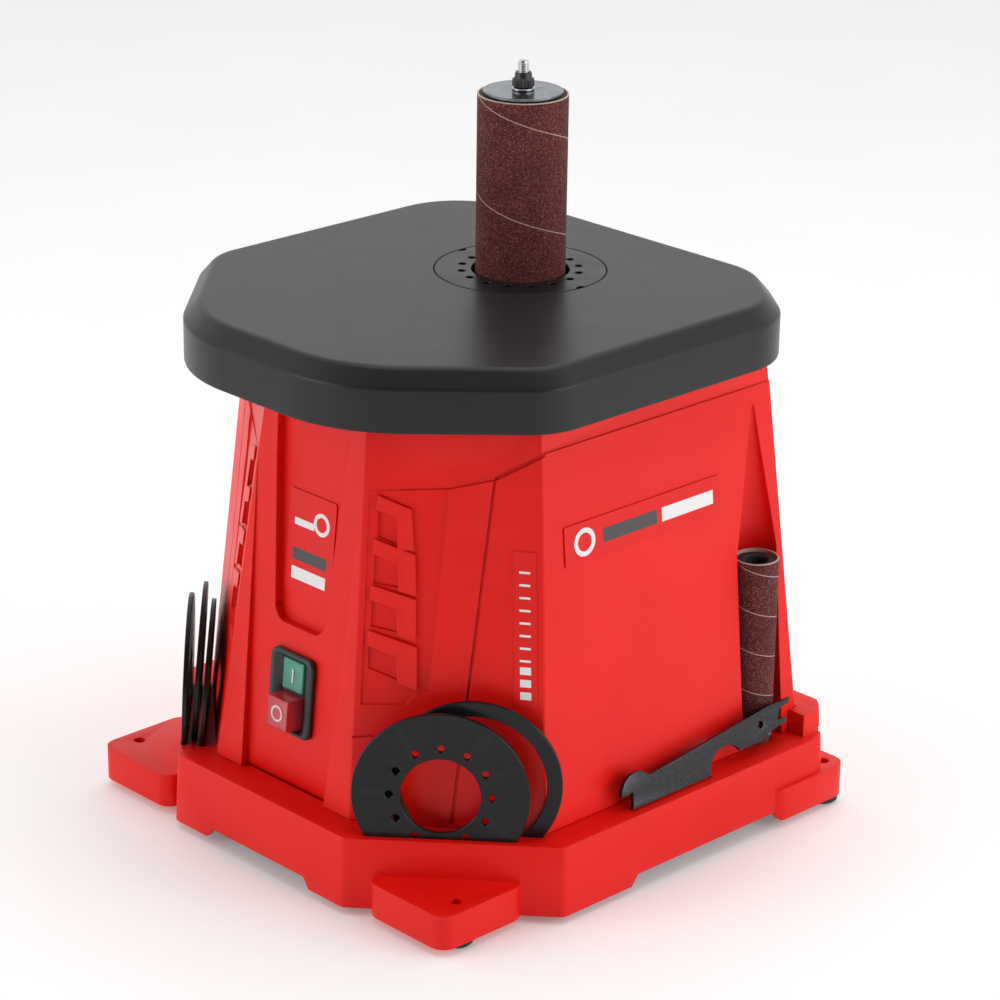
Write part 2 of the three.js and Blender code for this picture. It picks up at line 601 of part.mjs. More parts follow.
function dustPort() {
  const wallY = 82;
  let shape = disc(PORT_R, [CHUTE_BACK + GAP, PORT_TIP], [0, 0], 28);
  shape = shape.add(disc(25, [wallY, wallY + 3], [0, 0], 28));
  shape = shape.subtract(disc(PORT_BORE, [CHUTE_BACK - 1, PORT_TIP + 1], [0, 0], 28));
  return along(shape, PORT_Z, 0);
}

function cableGland() {
  const wallY = 92;
  let shape = disc(GLAND.r, [wallY - 11, wallY + 15], [0, 0], 24);
  shape = shape.add(disc(10, [wallY, wallY + 6], [0, 0], 6));
  shape = shape.subtract(disc(GLAND.bore, [wallY - 20, wallY + 20], [0, 0], 20));
  return along(shape, GLAND.z, GLAND.x);
}

// ---------------------------------------------------------------- switch
function switchParts() {
  const { bezel, proud, body, deep, cell, cellHigh } = SWITCH;
  const both = (half) => [-half, half];
  let housing = box(both(bezel[0]), [-proud, -GAP], both(bezel[1]))
    .add(box(both(body[0]), [0.1 - proud, deep], both(body[1])));
  housing = housing.subtract(box(both(cell), [-5, 12], [0.6, cellHigh]));
  housing = housing.subtract(box(both(cell), [-5, 12], [-cellHigh, -0.6]));
  piece('switch_housing', housing, 'black', switchFrame);
  const cap = both(cell - 0.4);
  piece('start_button', box(cap, [-2, 7], [1, cellHigh - 0.4]), 'green', switchFrame);
  piece('stop_button', box(cap, [-12, 7], [0.4 - cellHigh, -1]), 'stopRed', switchFrame);
}

// ---------------------------------------------------------------- wrench
const WRENCH = { x: 152.5, tilt: 15, thick: 2.5 };

function wrench() {
  const shape = new THREE.Shape();
  shape.moveTo(-58.5, 0);
  shape.lineTo(4.6, 0);
  shape.absarc(19, -1, 14.4, Math.PI, 0.6, true);
  shape.lineTo(46, 7.2);
  shape.lineTo(63, 11.5);
  shape.lineTo(71, 12.2);
  shape.lineTo(72, 14.8);
  shape.lineTo(64, 15.3);
  shape.lineTo(67, 21.2);
  shape.lineTo(75, 22.4);
  shape.lineTo(77, 25);
  shape.lineTo(60, 25.2);
  shape.lineTo(-38, 15.2);
  shape.absarc(-52, 6, 13.6, 0.72, 2.9, false);
  shape.lineTo(-60.5, 8.8);
  shape.lineTo(-56.2, 9.4);
  shape.lineTo(-57.4, 2.3);
  const hole = new THREE.Path();
  hole.absarc(50, 16.6, 2.2, 0, 2 * Math.PI, true);
  shape.holes.push(hole);
  const plate = new THREE.ExtrudeGeometry(shape,
    { depth: WRENCH.thick, bevelEnabled: false, curveSegments: 12 });
  plate.rotateX(Math.PI / 2).rotateZ(Math.PI / 2);
  return solid(plate);
}

// ---------------------------------------------------------------- assembly
function addBase() {
  piece('base_plinth', basePlinth(), 'red');
  piece('bottom_cover', bottomCover(), 'black');
  const feet = [[FRONT_EAR.hole, -1], [FRONT_EAR.hole, 1], [REAR_EAR.hole, -1], [REAR_EAR.hole, 1]];
  feet.forEach(([spot, sx], i) => piece(`rubber_foot_${i + 1}`, rubberFoot(spot, sx), 'rubber'));
  piece('body_shell', bodyShell(), 'red');
}

function addTable() {
  piece('table', table(), 'table');
  const plate = insert(TABLE_HOLE_R, 16, 33.5, Math.PI / 16, true);
  piece('table_insert', plate.translate([0, 0, TABLE_TOP - INSERT_THICK]), 'black');
  TABLE_SCREWS.forEach((spot, i) => {
    const screw = disc(5.5, [256.5, FRAME_PLATE[0] - GAP], spot, 6).add(disc(3, [258, 290], spot, 16));
    piece(`table_screw_${i + 1}`, screw, 'steel');
  });
}

function addMotor() {
  piece('upper_frame', upperFrame(), 'aluminium');
  piece('upper_bearing', ring(23.7, 11, [247, 259.7]), 'steel');
  piece('motor_housing', motorHousing(), 'aluminium');
  piece('stator_core', ring(MOTOR_R - MOTOR_WALL - 0.6, ROTOR_R + 0.6, CORE, [0, 0], 32), 'steel');
  piece('winding_upper', ring(54, 35, [CORE[1] + GAP, CORE[1] + 14]), 'copper');
  piece('winding_lower', ring(54, 35, [CORE[0] - 14, CORE[0] - GAP]), 'copper');
  piece('rotor_core', ring(ROTOR_R, TUBE_R + GAP, CORE), 'steel');
  piece('rotor_sleeve', ring(TUBE_R, SPINDLE_R + 0.4, [72, 268], [0, 0], 28), 'steel');
  piece('cooling_fan', coolingFan(), 'black');
  piece('motor_end_bell', ring(MOTOR_R, 24, BELL), 'aluminium');
  piece('lower_bearing', ring(23.7, 11, [BELL[0], BELL[1] - 1]), 'steel');
}

function addStroke() {
  piece('worm', worm(), 'steel');
  piece('gearbox_frame', gearboxFrame(), 'aluminium');
  piece('worm_wheel', wormWheel(), 'brass');
  piece('crankshaft', crankshaft(), 'steel');
  piece('carriage', carriage(), 'aluminium');
  piece('yoke', yoke(), 'steel');
  [-1, 1].forEach((sx, i) => piece(`guide_rod_${i + 1}`,
    disc(ROD_R, [COVER[1] + GAP, BELL[0] - GAP], [sx * ROD_X, 0], 24), 'steel'));
  piece('spindle_bearing', ring(13, SPINDLE_R + 0.3, [28, 40.5], [0, 0], 28), 'steel');
}

function addSpindle() {
  const top = SLEEVE_BOTTOM + SLEEVE_LENGTH;
  const around = SPINDLE_R + GAP;
  const aroundStud = STUD_R + GAP;
  const shaft = disc(SPINDLE_R, [22, top - 0.5], [0, 0], 28);
  piece('spindle_shaft', shaft.add(disc(STUD_R, [top - 1, STUD_TOP], [0, 0], 20)), 'steel');
  piece('spindle_collar', ring(10, around, [43, 48], [0, 0], 28), 'steel');
  const base = ring(WASHER_R, around, [SLEEVE_BOTTOM - 4.5, SLEEVE_BOTTOM - 0.5], [0, 0], 28);
  piece('drum_base_washer', base, 'darkSteel');
  const drum = ring(SLEEVE_R - SLEEVE_WALL - GAP, around, [SLEEVE_BOTTOM, top - 0.5]);
  piece('rubber_drum', drum, 'rubber');
  const sleeve = ring(SLEEVE_R, SLEEVE_R - SLEEVE_WALL, [SLEEVE_BOTTOM, top], [0, 0], 36);
  piece('sanding_sleeve', sleeve, 'grit');
  piece('top_washer', ring(WASHER_R, aroundStud, [top - 0.2, top + 1.8]), 'darkSteel');
  piece('spring_washer', ring(6.4, aroundStud, [top + 2.1, top + 3.2], [0, 0], 24), 'steel');
  const nut = disc(6.2, [top + 3.5, top + 12], [0, 0], 6);
  const thread = disc(STUD_R + 0.2, [top, top + 14], [0, 0], 20);
  piece('spindle_nut', nut.subtract(thread), 'black');
}

function addDust() {
  piece('dust_chute', dustChute(), 'black');
  piece('dust_port', dustPort(), 'black');
}

function addElectrics() {
  switchParts();
  piece('capacitor', disc(16, [COVER[1] + GAP, 74], [-88, 20], 32), 'aluminium');
  piece('terminal_block', box([60, 100], [-60, -42], [COVER[1] + GAP, 28]), 'label');
  piece('cable_gland', cableGland(), 'black');
}

function addStores() {
  STORED.forEach((spot, i) => piece(`stored_insert_${i + 1}`, storedInsert(spot), 'black'));
  const span = [SPARE.bottom, SPARE.bottom + SLEEVE_LENGTH];
  const at = [SPARE.x, SPARE.y];
  piece('spare_sleeve', ring(SPARE.r, SPARE.r - SLEEVE_WALL, span, at, 40), 'grit');
  const drumSpan = [span[0], span[1] - 1.5];
  const drum = ring(SPARE.r - SLEEVE_WALL - GAP, SPINDLE_R + 0.4, drumSpan, at, 32);
  piece('spare_drum', drum, 'rubber');
  const rest = frame([WRENCH.x, 0, DECK_TOP + 1], [0, -THREE.MathUtils.degToRad(WRENCH.tilt), 0]);
  piece('wrench', wrench(), 'darkSteel', rest);
}

function addLabels() {
  const onFront = frame([0, frontY(FRONT_LABEL_Z), FRONT_LABEL_Z], [-FRONT_SLOPE, 0, 0]);
  const inRecess = [RECESS.depth - 0.8, RECESS.depth - GAP];
  piece('front_label', box([-19, 19], inRecess, [-29, 29]), 'label', onFront);
  const { y, z, long, high } = SIDE_LABEL;
  const sideX = BODY_SEAM_HALF[1][0] + (SEAM - z) * Math.tan(SIDE_SLOPE);
  const onSide = frame([sideX, y, z], [0, -SIDE_SLOPE, 0]);
  piece('side_label', box([GAP, 0.8], [-long / 2, long / 2], [-high / 2, high / 2]), 'label', onSide);
  piece('corner_label', cornerLabel(), 'label');
}

// A narrow plate beside the side face, lying on the right chamfer.
function cornerLabel() {
  const span = CORNER_LABEL.z;
  const outer = bodyHull(-0.8, span);
  const skin = outer.subtract(bodyHull(-GAP, [span[0] - 1, span[1] + 1]));
  const bottom = bodyOutline(span[0]);
  const top = bodyOutline(span[1]);
  const strip = [[bottom, span[0]], [top, span[1]]].flatMap(([outline, z]) => {
    const corner = new THREE.Vector2(...outline[1]);
    const toFront = new THREE.Vector2(...outline[0]).sub(corner).normalize();
    const outward = new THREE.Vector2(-toFront.y, toFront.x);
    return CORNER_LABEL.u.flatMap((u) => [-3, 3].map((out) => {
      const point = corner.clone().addScaledVector(toFront, u).addScaledVector(outward, out);
      return new THREE.Vector3(point.x, point.y, z);
    }));
  });
  return skin.intersect(solid(new ConvexGeometry(strip)));
}

addBase();
addTable();
addMotor();
addStroke();
addSpindle();
addDust();
addElectrics();
addStores();
addLabels();

export default machine;
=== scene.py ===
# Oscillating spindle sander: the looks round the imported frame.
# Sizes are in millimetres from the spindle's axis; MACHINE turns them into the frame's metres.
import math

import bmesh
import bpy
from mathutils import Matrix, Vector

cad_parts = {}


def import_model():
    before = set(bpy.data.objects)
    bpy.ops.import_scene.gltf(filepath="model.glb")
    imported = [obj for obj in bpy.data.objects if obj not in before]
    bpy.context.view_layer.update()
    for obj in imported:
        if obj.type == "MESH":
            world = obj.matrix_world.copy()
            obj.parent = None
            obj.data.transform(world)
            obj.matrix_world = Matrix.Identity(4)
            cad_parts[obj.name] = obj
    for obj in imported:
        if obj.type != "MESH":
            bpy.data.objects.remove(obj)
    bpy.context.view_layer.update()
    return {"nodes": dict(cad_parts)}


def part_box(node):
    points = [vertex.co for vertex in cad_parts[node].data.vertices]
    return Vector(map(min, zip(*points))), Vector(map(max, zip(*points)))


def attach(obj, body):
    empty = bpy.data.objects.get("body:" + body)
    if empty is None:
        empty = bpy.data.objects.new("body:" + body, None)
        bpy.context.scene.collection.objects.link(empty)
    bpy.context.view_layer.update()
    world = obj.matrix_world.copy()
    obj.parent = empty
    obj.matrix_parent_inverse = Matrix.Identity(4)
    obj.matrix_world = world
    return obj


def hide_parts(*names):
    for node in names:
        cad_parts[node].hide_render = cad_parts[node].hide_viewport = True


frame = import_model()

MM = 0.001
GAP = 0.3
NODES = frame["nodes"]

# ------------------------------------------------------------------ sizes from the frame
shaft_low, shaft_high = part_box("spindle_shaft")
AXIS_Y = (shaft_low.y + shaft_high.y) / 2
TABLE_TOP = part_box("table")[1].z / MM
sleeve_low, sleeve_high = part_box("sanding_sleeve")
SLEEVE = (sleeve_low.z / MM, sleeve_high.z / MM)
SLEEVE_R = (sleeve_high.x - sleeve_low.x) / 2 / MM
spare_low, spare_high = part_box("spare_sleeve")
SPARE = (spare_low.z / MM, spare_high.z / MM)
SPARE_R = (spare_high.x - spare_low.x) / 2 / MM
SPARE_X = (spare_high.x + spare_low.x) / 2 / MM
SPARE_Y = ((spare_high.y + spare_low.y) / 2 - AXIS_Y) / MM
STUD_TOP = shaft_high.z / MM

# ------------------------------------------------------------------ driving dimensions
TABLE_BOTTOM = 275.8
TABLE_BEVEL = 8.4
TABLE_BEVEL_DROP = 9.4
TABLE_SKIN = 7
TABLE_WALL = 6
TABLE_HALF = [(60.3, -189.4), (135.6, -109.8), (135.6, 61), (88.5, 96.5)]
TABLE_ROUND = [88, 39, 50, 50]
TABLE_SCREWS = [(-70, -105), (70, -105), (-70, 40), (70, 40)]
BOSS = (9, 3.3, 270.4)  # a screw boss's radius, bore and lower end
SINK = 0.3  # how far pieces of one casting run into each other
CHUTE_NOTCH = [(-26, 60), (26, 60), (26, 120), (-26, 120)]
DECK_TOP = 45
SEAM = 256.5  # height of the step under the table band
SEAM_STEP = 1.1
BODY_TOP = TABLE_BOTTOM - GAP
BODY_BASE_HALF = [(56.6, -180.3), (142, -113.6), (142, 93)]
BODY_SEAM_HALF = [(41.5, -153.9), (122, -101.4), (122, 78.8)]
BODY_WALL = 4.5
BODY_ROUND = 2.4
BODY_STEPS = 12
CREASE_Y = -157.5  # where the front face stands at the crease's height
CREASE_Z = 228
FRONT_LEAN = 0.1  # how far the front face comes forward for each millimetre down
PASS = 2  # how far a cutter runs past the end of what it cuts

# The front face: a sunk panel that holds the switch, and a deeper recess that holds the plate
# and runs up under the table.
FRONT_PANEL = [(DECK_TOP - 1, 35), (CREASE_Z, 43.5)]
RECESS_LOW = 137
RECESS_HALF = (20, 32)  # half widths at its lower end and at the top
RECESS_DEPTH = 5
RECESS_ROUND = 8
SWITCH_Z = 99.5
SWITCH_HOLE = (15.4, 20.9, 1)  # half width, half height and corner radius

# The spare sleeve's trough, straight up to a height and then running to a narrow tip.
TROUGH_R = 16.5
TROUGH_STRAIGHT = 160
TROUGH_TIP = (122.5, 246)  # x and height
TROUGH_REACH = 40
PORT_HOLE = (19.4, 0, 248)  # radius, x and height
CABLE_HOLE = (7.3, -60, 78)

INSERT_R = 48.5
INSERT_THICK = 2.6
INSERT_PLAY = 0.6
INSERT_SEAT = 5  # width of the rim that the insert rests on
DUST_R = 2.2
NOTCH_R = 3.2
WALL = 1.0
STUD_R = 3.1
SPINDLE_R = 6
SPINDLE_LOW = 22
STUD_GAP = 0.3  # between the spindle's stud and what sits on it
WASHER_R = 22.5
BASE_WASHER = (293, 297)
THREAD_PITCH = 1.0
THREAD_DEPTH = 0.18
THREAD_ROWS = 150
NUT_LOW = 3.5  # height of the nut's foot above the sleeve
KNURLS = 24
KNURL_HEIGHT = 0.16
# The nut's steps: radius, height, and 1 where it is knurled.
NUT_TIERS = [(5.2, 0, 0), (6.0, 0.6, 1), (6.0, 4.4, 1), (5.6, 4.9, 0), (4.9, 5.3, 0), (4.7, 7.6, 0),
             (4.3, 8.5, 0)]
FEET = [(-136, -174), (136, -174), (-154, 103), (154, 103)]
FOOT_R = 9.5
FOOT_PROFILE = [(3.8, 0.5), (4.3, 0), (8.4, 0), (9.3, 0.9), (FOOT_R, 2.4), (FOOT_R, 3.7), (3.8, 3.7)]

# Plates with plain marks.
PLATE_FACE = 0.8  # how far a plate's face stands off its bed
MARK_SINK = 0.05
MARK_LIFT = 0.12
FRONT_LABEL_Z = 184
FRONT_PLATE = (19, 29, 1.5)  # half width, half height and corner radius
SIDE_LABEL_Y = -28
SIDE_LABEL_Z = 201.5
SIDE_PLATE = (61, 11.5, 1.5)
CORNER_LABEL = (117, 203)  # lower and upper end
CORNER_PLATE_U = (3.6, 16.3)
CORNER_PLATE_OUT = (0.1, 0.55)
DASH_U = (7, 13)
DASHES = 11
DASH_STEP = 7
TALL_DASHES = 3

# The switch's surround, from its outer foot over the rim, into the well and back behind the face:
# half width, half height, corner radius and distance out.
SURROUND = [(17.4, 23.5, 4.5, 0.3), (17.4, 23.5, 4.5, 2.8), (16.8, 22.9, 4, 3.7), (15.9, 22, 3.6, 4),
            (13.8, 21.6, 3, 4), (12.9, 21, 2.6, 3.4), (9.3, 19.7, 1, 1.2), (8.95, 19.5, 0.8, 0.8),
            (8.95, 19.5, 0.8, -28), (15, 20.5, 0.8, -28), (15, 20.5, 0.8, 0.3)]
BUTTON_Z = 10.1  # from the switch's middle to each button's middle
START_OUT = 2.0
STOP_OUT = 12.0

# Stored inserts: side, place along and inwards, height of the middle, lean in degrees, radius of
# the hole, and the number and pitch radius of the dust holes.
CHAMFER_MID = (115.5, -157)
CHAMFER_TURN = math.atan2(80, 89)
STORED = [
    ("right", -7.7, 5.5, 25.4, 0, 22, 12, 28),
    ("right", 9.3, 12.8, 30, 0, 40, 0, 0),
    ("left", -4.4, 2.6, 24.4, 2.5, 16, 12, 28),
    ("left", -2.4, 8, 30.7, 4.5, 34, 16, 39),
    ("left", -5.2, 12.8, 21.1, 5, 10, 12, 28),
]

# The relief of both front chamfers, as (distance from the side face's edge, height).
BAND = [(-3, 256), (0.4, 255.9), (25.8, 240.2), (50.4, 233.4), (97.4, 228.2), (99, 279), (-3, 279)]
BAND_DEPTHS = [1.1, 1.1, 1.1, 1.0, 0.05, 0.05, 1.1]
PANEL = [(94.5, 228), (50.4, 233.2), (63.1, 121.3), (71, 118.6), (75.7, 112.6), (100.8, 110.6)]
PANEL_DEPTHS = [0.3, 1.2, 1.3, 1.3, 1.3, 0.9]
BARS = [
    [(89, 225.9), (71.9, 220.1), (71, 199), (78.3, 199.1), (78.6, 216.2), (89.8, 219.3)],
    [(91.5, 202), (70.3, 195.7), (70, 174.3), (78.1, 176), (78.3, 190.5), (92, 195.2)],
    [(93.4, 176.6), (70.1, 171), (70.5, 149.4), (79.2, 151.3), (79.4, 165.6), (94, 169.8)],
    [(95.3, 151.6), (69.9, 144.7), (70.3, 121.7), (79.6, 124.6), (79.7, 139), (96, 144.6)],
]
WELLS = [
    [(89.7, 218.9), (78.9, 215.8), (78.6, 199.9), (90.4, 203.4)],
    [(91.9, 194.8), (78.6, 190.1), (78.4, 176.6), (93.1, 178.2)],
    [(93.9, 169.4), (79.7, 165.2), (79.5, 151.9), (94.9, 154.2)],
    [(95.9, 144.2), (80, 138.6), (79.9, 125.2), (96.8, 131)],
]
WELL_DEPTH = 2.1
BAR_ROOT, BAR_SHOULDER, BAR_FACE = -2.6, -0.1, 0.75
BAR_SLOPE = 0.9
# Narrow grooves: the line, half the width and the depth.
GROOVES = [
    ([(25.8, 240), (42.3, 116.4), (51.5, 47)], 0.8, 1.5),
    ([(-2, 256.8), (25.8, 240.8)], 0.8, 1.9),
    ([(106, 92), (94.5, 93.6), (88, 86)], 0.5, 0.9),
]
# A narrow curved ridge in the band.
ARC = [(51, 249), (47.5, 249), (43, 248), (40, 246.4), (37.6, 244.2), (35.8, 241.6)]
ARC_HALF = 0.45
ARC_RISE = (-2.5, -0.55)

# The studio: the camera's place and turn, and the soft boxes with place, size and power.
CAMERA_PLACE = (1.304456, -1.243822, 0.878288)
CAMERA_AZIMUTH = math.radians(45.803)
CAMERA_ELEVATION = math.radians(21.185)
CAMERA_ROLL = math.radians(0.806)
CAMERA_LENS = 121.89
AIM = (0, 0, 0.2)
SOFTBOXES = {
    "right_box": ((1.7, 0.5, 0.7), (1.4, 1.2), 13),
    "left_box": ((-0.6, -1.8, 0.7), (1.2, 1.2), 11),
    "top_box": ((0, 0.4, 2.0), (1.8, 1.8), 8),
}


# ------------------------------------------------------------------ outlines
def mirror_x(half):
    return list(half) + [(-x, y) for x, y in reversed(half)]


def offset(outline, distance):
    """Moves each side of an anticlockwise outline outwards."""
    count = len(outline)
    sides = []
    for i, (x, y) in enumerate(outline):
        qx, qy = outline[(i + 1) % count]
        length = math.hypot(qx - x, qy - y)
        nx, ny = (qy - y) / length, (x - qx) / length
        sides.append((nx, ny, nx * x + ny * y + distance))
    points = []
    for i in range(count):
        ax, ay, ar = sides[i - 1]
        bx, by, br = sides[i]
        cross = ax * by - ay * bx
        points.append(((ar * by - br * ay) / cross, (ax * br - bx * ar) / cross))
    return points


def rounded(outline, radii, steps=6):
    """Rounds every corner of a convex outline with an arc, of one radius or one for each corner."""
    count = len(outline)
    points = []
    for i, corner in enumerate(outline):
        radius = radii[i] if isinstance(radii, list) else radii
        at_corner = Vector(corner)
        to = (Vector(outline[i - 1]) - at_corner).normalized()
        away = (Vector(outline[(i + 1) % count]) - at_corner).normalized()
        half = to.angle(away) / 2
        centre = at_corner + (to + away).normalized() * (radius / math.sin(half))
        start = at_corner + to * (radius / math.tan(half)) - centre
        for k in range(steps + 1):
            turn = Matrix.Rotation((math.pi - 2 * half) * k / steps, 2)
            points.append(tuple(turn @ start + centre))
    return points


def rectangle(half_w, half_h, radius, steps=5):
    corners = [(half_w, -half_h), (half_w, half_h), (-half_w, half_h), (-half_w, -half_h)]
    return rounded(corners, radius, steps)


def body_outline(z, inset=0):
    t = (z - DECK_TOP) / (SEAM - DECK_TOP)
    pairs = zip(mirror_x(BODY_BASE_HALF), mirror_x(BODY_SEAM_HALF))
    between = [(a[0] + (b[0] - a[0]) * t, a[1] + (b[1] - a[1]) * t) for a, b in pairs]
    return offset(between, -inset)


def circle(radius, sides, centre=(0, 0)):
    return [(centre[0] + radius * math.cos(2 * math.pi * i / sides),
             centre[1] + radius * math.sin(2 * math.pi * i / sides)) for i in range(sides)]


def front_y(z):
    return CREASE_Y - FRONT_LEAN * (CREASE_Z - z)


# ------------------------------------------------------------------ frames, in metres
MACHINE = Matrix.Translation((0, AXIS_Y, 0)) @ Matrix.Scale(MM, 4)


def turned(place, rx=0.0, ry=0.0, rz=0.0):
    """A frame in the machine, turned about z, then y, then x."""
    turn = Matrix.Rotation(rz, 4, "Z") @ Matrix.Rotation(ry, 4, "Y") @ Matrix.Rotation(rx, 4, "X")
    return MACHINE @ Matrix.Translation(place) @ turn


FRONT_SLOPE = math.atan(FRONT_LEAN)
SIDE_RISE = (BODY_BASE_HALF[1][0] - BODY_SEAM_HALF[1][0]) / (SEAM - DECK_TOP)
SWITCH = turned((0, front_y(SWITCH_Z), SWITCH_Z), rx=-FRONT_SLOPE)
FRONT_LABEL = turned((0, front_y(FRONT_LABEL_Z), FRONT_LABEL_Z), rx=-FRONT_SLOPE)
SIDE_X = BODY_SEAM_HALF[1][0] + (SEAM - SIDE_LABEL_Z) * SIDE_RISE
SIDE_LABEL = turned((SIDE_X, SIDE_LABEL_Y, SIDE_LABEL_Z), ry=-math.atan(SIDE_RISE))
UPRIGHT = Matrix.Rotation(math.pi / 2, 4, "X")


def stored_frame(side, along, inward, up, lean):
    sign = 1 if side == "right" else -1
    corner = turned((sign * CHAMFER_MID[0], CHAMFER_MID[1], DECK_TOP), rz=sign * CHAMFER_TURN)
    place = Matrix.Translation((sign * along, inward, 0))
    tilt = Matrix.Rotation(-math.radians(lean), 4, "X")
    return corner @ place @ tilt @ Matrix.Translation((0, 0, up))


# ------------------------------------------------------------------ mesh helpers
def finish_mesh(name, bm, matrix, material, sharp=32):
    bmesh.ops.recalc_face_normals(bm, faces=bm.faces)
    mesh = bpy.data.meshes.new(name)
    bm.to_mesh(mesh)
    bm.free()
    mesh.transform(matrix)
    if matrix.is_negative:
        mesh.flip_normals()
    obj = bpy.data.objects.new(name, mesh)
    bpy.context.scene.collection.objects.link(obj)
    shade(obj, sharp)
    if material:
        mesh.materials.append(material)
    return obj


def shade(obj, sharp=32):
    for face in obj.data.polygons:
        face.use_smooth = True
    obj.data.set_sharp_from_angle(angle=math.radians(sharp))


def loft(rings, closed=False):
    """A solid through rings of the same count; closed joins the last ring to the first."""
    bm = bmesh.new()
    rows = [[bm.verts.new(point) for point in ring] for ring in rings]
    pairs = list(zip(rows, rows[1:]))
    if closed:
        pairs.append((rows[-1], rows[0]))
    for low, high in pairs:
        for i in range(len(low)):
            j = (i + 1) % len(low)
            bm.faces.new((low[i], low[j], high[j], high[i]))
    if not closed:
        bm.faces.new(list(reversed(rows[0])))
        bm.faces.new(rows[-1])
    return bm


def ring_at(outline, z):
    return [(x, y, z) for x, y in outline]


def turn_profile(profile, sides, centre=(0, 0)):
    """A closed ring solid about a vertical axis, from a closed profile of (radius, height)."""
    rings = []
    for radius, z in profile:
        angles = [2 * math.pi * i / sides for i in range(sides)]
        rings.append([(centre[0] + radius * math.cos(a), centre[1] + radius * math.sin(a), z)
                      for a in angles])
    return loft(rings, closed=True)


def ring_profile(outer, inner, low, high, edge=0.4):
    """A ring's cross-section with its four edges broken."""
    return [(inner, low + edge), (inner + edge, low), (outer - edge, low), (outer, low + edge),
            (outer, high - edge), (outer - edge, high), (inner + edge, high), (inner, high - edge)]


def turned_ring(name, outer, inner, low, high, material, body, node, edge, sides=96):
    bm = turn_profile(ring_profile(outer, inner, low, high, edge), sides)
    ride_for(finish_mesh(name, bm, MACHINE, material), body, node)


def ride_for(obj, body, *nodes):
    """Puts a piece on a body, in place of CAD nodes."""
    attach(obj, body)
    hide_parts(*nodes)


def apply_modifiers(obj):
    graph = bpy.context.evaluated_depsgraph_get()
    mesh = bpy.data.meshes.new_from_object(obj.evaluated_get(graph))
    obj.modifiers.clear()
    old = obj.data
    obj.data = mesh
    bpy.data.meshes.remove(old)


def boolean(obj, other, operation):
    """Cuts or joins another mesh, which is then gone; the result has no material yet."""
    modifier = obj.modifiers.new("cut", "BOOLEAN")
    modifier.operation = operation
    modifier.solver = "MANIFOLD"
    modifier.object = other
    apply_modifiers(obj)
    obj.data.materials.clear()
    bpy.data.objects.remove(other)


def bevel(obj, width, segments=2, angle=35):
    modifier = obj.modifiers.new("edges", "BEVEL")
    modifier.width = width * MM
    modifier.segments = segments
    modifier.limit_method = "ANGLE"
    modifier.angle_limit = math.radians(angle)
    modifier.harden_normals = False
    apply_modifiers(obj)


def soften(node, name, material, body, width=0.6, segments=2, angle=35):
    """A new piece with a CAD node's shape and its edges rounded."""
    bm = bmesh.new()
    bm.from_mesh(NODES[node].data)
    bmesh.ops.remove_doubles(bm, verts=bm.verts, dist=1e-5)
    bmesh.ops.dissolve_limit(bm, angle_limit=math.radians(1), verts=bm.verts, edges=bm.edges)
    obj = finish_mesh(name, bm, Matrix.Identity(4), material)
    bevel(obj, width, segments, angle)
    shade(obj, 30)
    ride_for(obj, body, node)
    return obj


